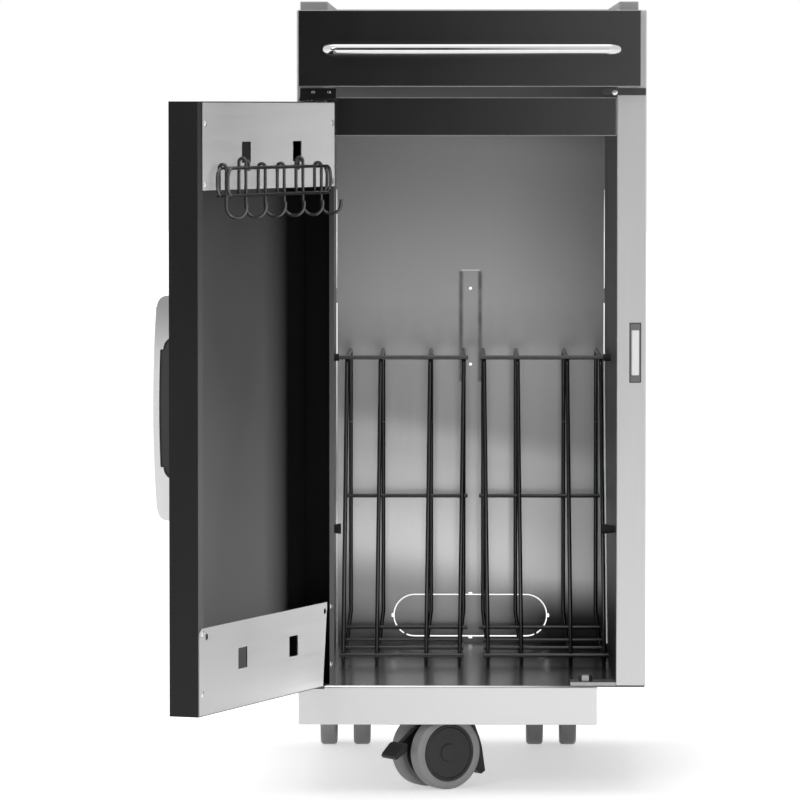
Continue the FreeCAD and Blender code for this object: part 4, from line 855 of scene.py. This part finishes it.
def hook_path(x, arch):
    """A hook: up behind both loops, over them by arch, down in front and out to its tip."""
    top = HOOK_HIGH + arch
    bottom = HOOK_FOOT + hook_radius
    tip = leg_front + HOOK_OUT
    turn = LOOPS_APART / 2 - 0.01
    corners = [
        (x, leg_back, HOOK_LOW - hook_radius),
        (x, leg_back, top),
        (x, leg_front, top),
        (x, leg_front, bottom),
        (x, tip, bottom),
        (x, tip, HOOK_TIP),
    ]
    return [on_door(*p) for p in corners], (turn, turn, HOOK_BEND, HOOK_BEND)


def hanger_path(x):
    """A hanger: from the loop up, through the plate's slot and down behind the plate."""
    rest = SLOT_HIGH - SLOT_TALL / 2 + hook_radius + 0.2
    behind = DOOR_INSIDE - hook_radius - 0.4
    corners = [
        (x, leg_back, HOOK_HIGH - HOOK_WIRE),
        (x, leg_back, rest),
        (x, behind, rest),
        (x, behind, rest - HANGER_DROP - hook_radius),
    ]
    turn = (leg_back - behind) / 2 - 0.01
    return [on_door(*p) for p in corners], (turn, turn)


print("loops stand", round(leg_back, 2), "and", round(leg_front, 2), "mm behind the door's face")

# %% Hook rack from bent wire
EDGE, DOOR_WIDTH = 12.6, 393.0
FIRST_HOOK, HOOK_GAP = 67.0, 54.8
LOOP_NEAR, LOOP_FAR, BACK_LOOP_LONGER = 48.0, 345.0, 10.0
SLOTS_ASIDE, SLOT_HALF, FROM_SLOT_END = 10.0, 76.0, 4.0
HOOK_ARCHES = (4.2, 10.4, 4.2, 4.2, 10.4, 4.2)
hook_places = [FIRST_HOOK - EDGE + HOOK_GAP * i for i in range(len(HOOK_ARCHES))]
hooks = [hook_path(x, arch) for x, arch in zip(hook_places, HOOK_ARCHES)]
slots_middle = (DOOR_WIDTH - 2 * EDGE) / 2 - SLOTS_ASIDE
hangers = [slots_middle - SLOT_HALF + FROM_SLOT_END, slots_middle + SLOT_HALF - FROM_SLOT_END]
near, far = LOOP_NEAR - EDGE, LOOP_FAR - EDGE
loops = [
    hook_loop(near, far, leg_front + hook_step),
    hook_loop(near - BACK_LOOP_LONGER, far + BACK_LOOP_LONGER, leg_back + hook_step),
]
loops += [hanger_path(x) for x in hangers]
hook_wire = {"Wire_radius": hook_radius * MM, "Sides": 12, "Material": hook_coat}
for name, paths, steps, replaced in (
    ("hook_loops", loops, 7, "hook_rack_frames"),
    ("tool_hooks", hooks, 8, "hook_rack_hooks"),
):
    lines = wire_paths(name, paths)
    bent_wire.grow(name, lines, "door", "black_wire", [replaced], Corner_steps=steps, **hook_wire)
hook_welds = []
for x in hook_places:
    for z in (HOOK_LOW, HOOK_HIGH):
        hook_welds.append(on_door(x, leg_front + hook_step / 2, z))
        hook_welds.append(on_door(x, leg_back + hook_step / 2, z))
beads = spots_mesh("hook_welds", hook_welds)
bead = {"Bead_radius": 0.0017, "Seed": 5, "Material": hook_coat}
weld_beads.grow("hook_welds", beads, "door", "black_wire", **bead)
print("hooks:", len(hooks), "welds:", len(hook_welds))

# %% [markdown]
# ## Edges that narrow the light
# The back panel stands a little clear of the liners, and light from behind shows there as a fine line that is
# wider in one place than in another. Real sheet bows, so a thin flange behind each slit, cut to a wavy edge,
# lets through as much light as it should. Each one is a flat outline, given a thickness.

# %% Flanges behind the slits
LIGHT_LOW, LIGHT_HIGH = 484.0, 545.0
RIGHT_HEIGHTS = (684.5, 660.0, 620.0, 565.0, LIGHT_HIGH, LIGHT_LOW, 470.0)
RIGHT_GAPS = (0.3, 0.8, 0.95, 0.8, 1.15, 1.1, 0.3)
LEFT_HEIGHTS = (684.5, 650.0, 600.0, 565.0, LIGHT_HIGH, LIGHT_LOW, 478.0)
LEFT_HEIGHTS += (400.0, 350.0, 300.0, 270.0, 240.0, 180.0)
LEFT_GAPS = (0.6, 0.9, 0.7, 0.4, 1.1, 1.1, 0.7, 0.5, 0.15, 0.3, 0.8, 0.6, 0.2)
SLIT_TOP, FLANGE_EDGE = 690.0, 157.0
behind_panel = max(vert.co.y for vert in nodes["back_panel"].data.vertices)
FLANGE_DEPTHS = (behind_panel + 0.0001, behind_panel + 0.0009)


def cut_sheet(name, outline, depths, material, slot="brushed_steel"):
    """A plate with the given outline, as (x, z) on the cabinet, between two depths in metres."""
    shape = bmesh.new()
    spots = [on_cabinet(x, 0.0, z) for x, z in outline]
    face = shape.faces.new([shape.verts.new((spot.x, depths[0], spot.z)) for spot in spots])
    grown = bmesh.ops.extrude_face_region(shape, geom=[face])
    moved = [item for item in grown["geom"] if isinstance(item, bmesh.types.BMVert)]
    bmesh.ops.translate(shape, verts=moved, vec=(0.0, depths[1] - depths[0], 0.0))
    bmesh.ops.recalc_face_normals(shape, faces=shape.faces)
    return add_piece(name, finish_mesh(shape, name), material, "cabinet", slot)


for name, side, heights, gaps in (
    ("right_slit_flange", 1, RIGHT_HEIGHTS, RIGHT_GAPS),
    ("left_slit_flange", -1, LEFT_HEIGHTS, LEFT_GAPS),
):
    wavy = [((INNER_HALF - gap) * side, z) for z, gap in zip(heights, gaps)]
    plain = FLANGE_EDGE * side
    ends = [(wavy[-1][0], FLOOR_TOP), (plain, FLOOR_TOP), (plain, SLIT_TOP), (wavy[0][0], SLIT_TOP)]
    cut_sheet(name, wavy + ends, FLANGE_DEPTHS, upright_steel)
for side, gaps in (("left", LEFT_GAPS), ("right", RIGHT_GAPS)):
    print("mean gap,", side, round(sum(gaps) / len(gaps), 2), "mm")

# %% [markdown]
# Two more plates are cut the same way. One stands behind the oval cover and narrows its slit. The other is
# a bright strip on the right liner, a painted reflection of the slit's light in the polished liner: it leans
# back as it rises, so its points are moved after it is cut.

# %% Plate behind the oval and painted reflection on the liner
OVAL_LONG, OVAL_TALL, OVAL_SLIT, OVAL_LAP = 191.0, 53.0, 2.2, 0.9
OVAL_MIDDLE = FLOOR_TOP + 34.0
ARC_STEPS = 24
oval_round = OVAL_TALL / 2 - OVAL_SLIT + OVAL_LAP
oval_reach = OVAL_LONG / 2 - OVAL_TALL / 2
oval = []
for end in (1, -1):
    for step in range(ARC_STEPS + 1):
        angle = math.radians(-90.0 + 180.0 * step / ARC_STEPS)
        across = end * (oval_reach + oval_round * math.cos(angle))
        oval.append((across, OVAL_MIDDLE + end * oval_round * math.sin(angle)))
cut_sheet("oval_cover_plate", oval, FLANGE_DEPTHS, upright_steel)

# A bright strip on the right liner stands in for the slit's light mirrored in the liner: a painted
# reflection.
REFLECTION_OUTLINE = ((0.1, 136.0), (2.5, 136.0), (2.2, 220.0), (1.2, 460.0), (0.1, 460.0))
EDGE_BACK, EDGE_THICK, EDGE_LEAN = 380.0, 0.8, 0.46
outline = [(INNER_HALF - inward, z) for inward, z in REFLECTION_OUTLINE]
edge_foot = on_cabinet(0.0, EDGE_BACK, REFLECTION_OUTLINE[0][1])
depths = (edge_foot.y, edge_foot.y + EDGE_THICK * MM)
liner_reflection = cut_sheet("liner_bright_edge", outline, depths, bare_steel, "zinc_steel")
for vert in liner_reflection.data.vertices:
    vert.co.y += (vert.co.z - edge_foot.z) * EDGE_LEAN
print("oval points:", len(oval), "liner edge rises", REFLECTION_OUTLINE[-1][1] - REFLECTION_OUTLINE[0][1], "mm")

# %% [markdown]
# ## Wheels
# A wheel is a turned shape, so it is drawn as half a section and spun about its axle. The disc has a cap over
# the axle, a shallow dish and a rim; the soft tyre has a round shoulder on each side.

# %% Half a section of the tyre and the disc
AXLE_BACK, AXLE_HIGH = -28.0, 42.5
WHEEL_IN, WHEEL_OUT = 10.2, 30.7


def shoulder(radius, along, turn_from, size=4.0, steps=6):
    """A quarter circle of the section, as (radius, along) pairs."""
    angles = [math.radians(turn_from + 90 * i / steps) for i in range(steps + 1)]
    return [(radius + size * math.cos(a), along + size * math.sin(a)) for a in angles]


tyre_section = [
    (32.8, WHEEL_IN + 0.8),
    (33.8, WHEEL_IN),
    *shoulder(38.5, WHEEL_IN + 4.0, -90),
    *shoulder(38.5, WHEEL_OUT - 4.0, 0),
    (35.0, WHEEL_OUT),
    (33.9, WHEEL_OUT - 0.5),
    (33.4, WHEEL_OUT - 1.5),
    (32.8, WHEEL_OUT - 2.2),
]
disc_face = WHEEL_OUT - 1.0
disc_section = [
    (0.0, disc_face - 0.2),
    (8.6, disc_face - 0.3),
    (10.2, disc_face - 0.9),
    (10.6, disc_face - 1.8),
    (11.4, disc_face - 1.8),
    (12.4, disc_face - 1.4),
    (28.6, disc_face - 0.9),
    (29.4, disc_face - 1.3),
    (30.0, disc_face - 0.3),
    (31.0, disc_face),
    (32.2, disc_face),
    (33.0, disc_face - 0.8),
    (33.0, WHEEL_IN + 0.8),
    (32.2, WHEEL_IN),
    (0.0, WHEEL_IN),
]
print("section points: tyre", len(tyre_section), "disc", len(disc_section))

# %% Spin the wheels


def turned(name, section, place):
    """Spins a section about the Z axis, closes it, and puts it where place says."""
    shape = bmesh.new()
    ring = [shape.verts.new((r * MM, 0.0, a * MM)) for r, a in section]
    pairs = list(zip(ring, ring[1:]))
    if section[0][0] > 0:
        pairs.append((ring[-1], ring[0]))
    edges = [shape.edges.new(pair) for pair in pairs]
    bmesh.ops.spin(shape, geom=ring + edges, axis=(0, 0, 1), cent=(0, 0, 0), angle=math.tau, steps=72)
    bmesh.ops.remove_doubles(shape, verts=shape.verts, dist=0.000005)
    bmesh.ops.recalc_face_normals(shape, faces=shape.faces)
    shape.transform(place)
    return finish_mesh(shape, name)


# Where each caster's kingpin stands, in metres, and how far the caster is swung, in degrees.
casters = {
    "front": (0.055927, -0.012218, 33.0),
    "rear_left": (-0.080373, 0.397782, -90.0),
    "rear_right": (0.173127, 0.397782, -90.0),
}
for caster, (x, y, swing) in casters.items():
    turn = Matrix.Rotation(math.radians(swing), 4, "Z")
    to_axle = Matrix.Translation((AXLE_BACK * MM, 0.0, AXLE_HIGH * MM))
    axle = Matrix.Translation((x, y, 0.0)) @ turn @ to_axle
    for side, lean in (("near", 90), ("far", -90)):
        place = axle @ Matrix.Rotation(math.radians(lean), 4, "X")
        body = f"{caster}_wheel_{side}"
        hub, tyre = f"{caster}_hub_{side}", f"{caster}_tyre_{side}"
        disc = turned(hub, disc_section, place)
        disc = add_piece(hub + "_disc", disc, wheel_plastic, body, "wheel_disc", hub)
        band = turned(tyre, tyre_section, place)
        band = add_piece(tyre + "_band", band, tyre_rubber, body, "grey_tyre", tyre)
        smooth_by_angle(disc, 28.0)
        smooth_by_angle(band, 40.0)
print("wheel pieces:", 4 * len(casters))

# %% [markdown]
# ## Screws
# Pan-head screws are pressed from wire: a low dome with a recess for the driver. The tree makes one head,
# cuts a hexagonal socket into it, and sets it on every point, turned along the point's own direction.

# %% A tree that sets screw heads


def screw_tree():
    """Points in, a screw head on each, by the direction and the size stored on the point."""
    tree = Tree("screw heads", Socket_share=0.42, Material=bright_zinc)
    ball = tree.node("GeometryNodeMeshUVSphere", Segments=32, Rings=16, Radius=1.0)
    across, along, up = tree.split(tree.node("GeometryNodeInputPosition"))
    lowered = tree.node("ShaderNodeCombineXYZ", X=across, Y=along, Z=up.math("MAXIMUM", 0.0))
    dome = tree.node("GeometryNodeSetPosition", Geometry=ball, Position=lowered)
    share = tree.given("Socket share")
    drill = tree.node("GeometryNodeMeshCylinder", Vertices=6, Radius=share, Depth=1.0)
    raised = tree.node("GeometryNodeTransform", Geometry=drill, Translation=(0.0, 0.0, 0.95))
    cut = {"operation": "DIFFERENCE"}
    head = tree.node("GeometryNodeMeshBoolean", cut, Mesh_1=dome, Mesh_2=raised)
    vector = {"data_type": "FLOAT_VECTOR"}
    facing = tree.node("GeometryNodeInputNamedAttribute", vector, Name="facing")
    turned_to = tree.node("FunctionNodeAlignRotationToVector", {"axis": "Z"}, Vector=facing)
    size = tree.node("GeometryNodeInputNamedAttribute", vector, Name="size")
    stands = {"Points": tree.given("Geometry"), "Instance": head, "Rotation": turned_to, "Scale": size}
    tree.end(tree.node("GeometryNodeInstanceOnPoints", **stands))
    return tree


screw_heads = screw_tree()
print("screw nodes:", len(screw_heads.tree.nodes))

# %% [markdown]
# The CAD draws all the heads of a sheet as one node of plain cylinders. Each cylinder is found as a loose
# part, and one point at its foot takes over its place, its direction, its width and its height.

# %% Where the CAD has its screws
BRACKET_HEIGHT = 0.5


def loose_parts(node):
    """The separate solids of a CAD node, as lists of points, in the same order every time."""
    shape = merged_copy(node)
    seen, parts = set(), []
    for first in shape.verts:
        if first in seen:
            continue
        seen.add(first)
        reached = [first]
        for vert in reached:
            for edge in vert.link_edges:
                other = edge.other_vert(vert)
                if other not in seen:
                    seen.add(other)
                    reached.append(other)
        parts.append([vert.co.copy() for vert in reached])
    shape.free()
    return parts


front_parts = [part for part in loose_parts("cabinet_screws") if min(p.z for p in part) > BRACKET_HEIGHT]
door_parts = loose_parts("door_plate_screws")
print("screws:", len(front_parts), len(door_parts))

# %% Screw heads


def screw_points(name, parts, facing):
    """One point under each head, with its direction and its width and height."""
    spots, sizes = [], []
    across = facing.orthogonal().normalized()
    for points in parts:
        depths = [p.dot(facing) for p in points]
        widths = [p.dot(across) for p in points]
        middle = sum(points, Vector()) / len(points)
        spots.append(middle + facing * (min(depths) - middle.dot(facing)))
        radius = (max(widths) - min(widths)) / 2
        sizes += [radius, radius, max(depths) - min(depths)]
    mesh = spots_mesh(name, spots)
    for key, values in (("facing", list(facing) * len(spots)), ("size", sizes)):
        mesh.attributes.new(key, "FLOAT_VECTOR", "POINT").data.foreach_set("vector", values)
    return mesh


screw = {"Socket_share": 0.42, "Material": bright_zinc}
front_heads = screw_points("front_screw_heads", front_parts, Vector((0, -1, 0)))
screw_heads.grow("front_screw_heads", front_heads, "cabinet", "zinc_steel", **screw)
half_width, _, tall = front_heads.attributes["size"].data[0].vector
print("first head, width and height:", round(half_width * 2, 4), round(tall, 4))

# %% [markdown]
# The bolt of the tie plate on the floor shares its CAD node with the front screws. Its head looks larger on
# the real cart than in the CAD. So the head alone is scaled up from the plate, which leaves the shank in its
# hole, and its edges are eased.

# %% The tie bolt
TIE_BOLT_SIDE = 0.1
HEAD_SCALE = (1.35, 1.35, 1.7)
bolt_shape = merged_copy("cabinet_screws")
others = [v for v in bolt_shape.verts if v.co.z > BRACKET_HEIGHT]
bmesh.ops.delete(bolt_shape, geom=others, context="VERTS")
plate_top = max(vert.co.z for vert in nodes["tie_plate"].data.vertices)
head = [v for v in bolt_shape.verts if v.co.x > TIE_BOLT_SIDE and v.co.z > plate_top - 0.0002]
foot = sum((v.co for v in head), Vector()) / len(head)
foot.z = plate_top
bmesh.ops.scale(bolt_shape, vec=HEAD_SCALE, space=Matrix.Translation(-foot), verts=head)
bolt = finish_mesh(bolt_shape, "tie_bolt")
bolt = add_piece("tie_bolt", bolt, zinc, "cabinet", "zinc_steel", "cabinet_screws")
eased(bolt, 0.6, 2)
print("tie bolt stands on", round(plate_top, 4))

# %% [markdown]
# The screws of the door's two plates are the same heads. They face the door's inside, so their direction is
# the one that was inward on the closed door, swung open with it.

# %% Screw heads of the door's plates
door_inward = (door_to_frame.to_3x3() @ Vector((0, 1, 0))).normalized()
door_heads = screw_points("door_screw_heads", door_parts, door_inward)
screw_heads.grow("door_screw_heads", door_heads, "door", "zinc_steel", ["door_plate_screws"], **screw)
print("door screws:", len(door_parts), "facing", [round(n, 3) for n in door_inward])

# %% [markdown]
# ## Finishes for the CAD pieces that stay
# A solid that already has the right shape only needs its material. Its mesh is left alone.

# %% Paint the CAD nodes
node_finish = {
    "back_panel": wall_steel,
    "base_rear_rail": rail_steel,
    "base_side_rails": rail_steel,
    "caster_cross_rails": zinc,
    "caster_plates": zinc,
    "door_hinge_bushes": nylon,
    "door_lower_plate": plate_steel,
    "door_upper_plate": plate_steel,
    "fascia_bracket_right": black_enamel,
    "floor_pan": floor_steel,
    "hinge_bracket_top": black_enamel,
    "hinge_foot_plate": black_enamel,
    "hinge_pins": chrome,
    "left_liner": pale_liner_steel,
    "rack_bushes": rubber,
    "right_liner": liner_steel,
    "tie_plate": zinc,
}
for caster in casters:
    node_finish[caster + "_axle"] = zinc
for name, material in node_finish.items():
    nodes[name].data.materials.clear()
    nodes[name].data.materials.append(material)
print("painted nodes:", len(node_finish))

# %% [markdown]
# ## Floor, light and camera
# The studio is white all round. The floor is a pale sheet that keeps the cart's shadow. Far from the cart a
# mirror or the camera sees it glow, so that it melts into the white; the glow is weaker in a box under the
# cart, which paints a soft shadow there.

# %% Floor
FLOOR_GLOW, FLOOR_GLOW_FAR = 0.46, 0.34
CART_MIDDLE_X, CART_HALF_X = 0.06, 0.2
CART_MIDDLE_Y, CART_HALF_Y = 0.17, 0.21


def flat_sheet(name, size, z):
    """A square sheet about the origin."""
    mesh = bpy.data.meshes.new(name)
    half = size / 2
    corners = [(-half, -half, z), (half, -half, z), (half, half, z), (-half, half, z)]
    mesh.from_pydata(corners, [], [(0, 1, 2, 3)])
    sheet = bpy.data.objects.new(name, mesh)
    bpy.context.scene.collection.objects.link(sheet)
    return sheet


floor = flat_sheet("floor", 60.0, 0.0)
paint = Finish("floor_paint", Base_Color=(0.86, 0.86, 0.86, 1.0), Roughness=0.6, Specular_IOR_Level=0.1)
x, y, _ = paint.place()
# The glow is weaker in a box under the cart, which paints a soft shadow there.
aside = (x - CART_MIDDLE_X).math("ABSOLUTE") - CART_HALF_X
ahead = (y - CART_MIDDLE_Y).math("ABSOLUTE") - CART_HALF_Y
away = (aside.math("MAXIMUM", ahead) * 3.0).clamped()
glow = paint.node("ShaderNodeEmission", Color=WHITE, Strength=away * FLOOR_GLOW_FAR + FLOOR_GLOW)
plain = Field(paint.tree, paint.shader.outputs[0])
glowing = paint.node("ShaderNodeAddShader", _0=plain, _1=glow)
surface = paint.node("ShaderNodeMixShader", _0=paint.seen_or_mirrored(), _1=plain, _2=glowing)
connect(paint.tree, paint.tree.nodes["Material Output"].inputs["Surface"], surface)
floor.data.materials.append(paint.material)
print("floor nodes:", len(paint.tree.nodes))

# %% [markdown]
# The world does two jobs. To the camera, and to every surface that mirrors it, it is plain white, as a
# photographer's paper roll would be. As a light it is weaker, so that the shadow under the cart stays.

# %% White world
WORLD_LIGHT = 0.42
world = bpy.data.worlds.new("studio")
bpy.context.scene.world = world
world.use_nodes = True
world.node_tree.nodes.clear()
sky = Wiring(world.node_tree)
soft = sky.node("ShaderNodeBackground", Color=WHITE, Strength=WORLD_LIGHT)
white = sky.node("ShaderNodeBackground", Color=WHITE, Strength=1.0)
shown = sky.node("ShaderNodeMixShader", _0=sky.seen_or_mirrored(), _1=soft, _2=white)
sky.node("ShaderNodeOutputWorld", Surface=shown)
print("world nodes:", len(sky.tree.nodes))

# %% [markdown]
# Three soft panels light the front at a level where a colour renders about as it is written: a large one
# high at the left, a low one that reaches under the skirt, and one overhead for the top rails.

# %% Soft panels


def panel(name, place, target, size, power, glossy=True):
    """An area light at place that faces target; only a glossy one shows in reflections."""
    light = bpy.data.lights.new(name, "AREA")
    light.shape = "RECTANGLE"
    light.size, light.size_y = size
    light.energy = power
    lamp = bpy.data.objects.new(name, light)
    bpy.context.scene.collection.objects.link(lamp)
    lamp.location = place
    lamp.rotation_euler = (Vector(target) - Vector(place)).to_track_quat("-Z", "Y").to_euler()
    lamp.visible_camera = False
    lamp.visible_glossy = glossy
    return lamp


CART = (0.05, 0.1, 0.45)
panel("key_panel", (-1.8, -3.4, 2.0), CART, (1.8, 1.8), 42.0)
panel("low_panel", (0.1, -2.6, 0.2), (0.1, 0.0, 0.25), (1.8, 0.4), 8.0, glossy=False)
panel("top_panel", (0.0, 0.2, 3.4), CART, (2.6, 2.6), 20.0)
print("panel watts:", [light.energy for light in bpy.data.lights])

# %% [markdown]
# A photographer hangs black cloth before glossy things, to give their reflections some shape. This sheet does
# the same, but it glows and only mirrors see it: its glow is nearly black on the left and pale on the right,
# so the reflections in black enamel and bright steel both change across the front.

# %% Cloth that only reflections see
CLOTH_PLACE = (-1.2, -3.2, 1.2)
CLOTH_WIDE, CLOTH_TALL = 5.4, 2.4
cloth_sheet = flat_sheet("cloth", 1.0, 0.0)
spread = Matrix.Diagonal((CLOTH_WIDE, 1.0, CLOTH_TALL, 1.0))
upright = Matrix.Rotation(math.radians(90), 4, "X")
cloth_sheet.data.transform(Matrix.Translation(CLOTH_PLACE) @ spread @ upright)
black = {"Base_Color": grey(20), "Roughness": 1.0, "Specular_IOR_Level": 0.0}
cloth = Finish("cloth", Emission_Strength=1.0, **black)
pale = ((cloth.place()[0] - 0.02) * 2.7 + cloth.grain((3.0, 3.0, 3.0)) * 0.1).clamped()
cloth.set(Emission_Color=cloth.blend(pale, grey(24), grey(240)))
cloth_sheet.data.materials.append(cloth.material)
for ray in ("camera", "diffuse", "shadow", "transmission"):
    setattr(cloth_sheet, "visible_" + ray, False)
print("cloth spans", CLOTH_WIDE, "by", CLOTH_TALL, "m")

# %% [markdown]
# The camera stands where the photograph was taken: far off and a little below the top, with a long lens. The
# edges of the cabinet's inside, as they draw together in the picture, gave its distance.

# %% Camera at the photograph's place
lens = bpy.data.cameras.new("camera")
lens.lens = 259.16
lens.sensor_width = 36.0
lens.clip_end = 200.0
camera = bpy.data.objects.new("camera", lens)
bpy.context.scene.collection.objects.link(camera)
camera.location = (0.0581, -6.6672, 0.7851)
aim = Vector((-0.0083, -0.0762, 0.4512))
camera.rotation_euler = (aim - camera.location).to_track_quat("-Z", "Y").to_euler()
bpy.context.scene.camera = camera
bpy.context.scene.view_settings.view_transform = "Standard"
print("camera distance:", round((aim - camera.location).length, 3))

# %% [markdown]
# ## Tie the pieces to the frame
# Each new piece rides on a CAD body, so that it moves with the joint, and stands for the nodes it replaces,
# which are hidden.

# %% Ride and replace
for piece, body, slot, replaced in made_pieces:
    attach(piece, body)
    if replaced:
        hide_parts(*replaced)
print("pieces tied to a body:", len(made_pieces))

# %% [markdown]
# ## Light for one piece alone
# The door's inside faces away from the camera, and its gloss mirrors a dim panel that would stand behind the
# cabinet. Light linking lets a panel shine on chosen pieces alone, and past the others that stand between.
# Linking comes after the riding, so that the chosen pieces are the finished ones.

# %% Panels that only some pieces see


def shine_on(lamp, pieces, past_others=True):
    """Keeps a lamp for some pieces; past_others lets its light through all the rest."""
    chosen = bpy.data.collections.new(lamp.name + "_only")
    for piece in pieces:
        chosen.objects.link(piece)
    lamp.light_linking.receiver_collection = chosen
    if past_others:
        lamp.light_linking.blocker_collection = chosen


door_glow = panel("door_glow", (1.25, 1.15, 0.16), (-0.19, -0.43, 0.38), (0.66, 0.6), 9.4)
shine_on(door_glow, [door_skin])
plate_glow = panel("plate_glow", (1.16, 1.24, 0.35), (-0.16, -0.3, 0.45), (0.5, 1.2), 20.0)
shine_on(plate_glow, [nodes["door_upper_plate"], nodes["door_lower_plate"]])
wall_glow = panel("wall_glow", (0.0, -2.6, 0.2), (0.05, 0.3, 0.3), (1.8, 0.5), 9.0)
shine_on(wall_glow, [nodes["back_panel"], nodes["floor_pan"], liner_reflection], past_others=False)
print("panels:", len(bpy.data.lights))

# %% [markdown]
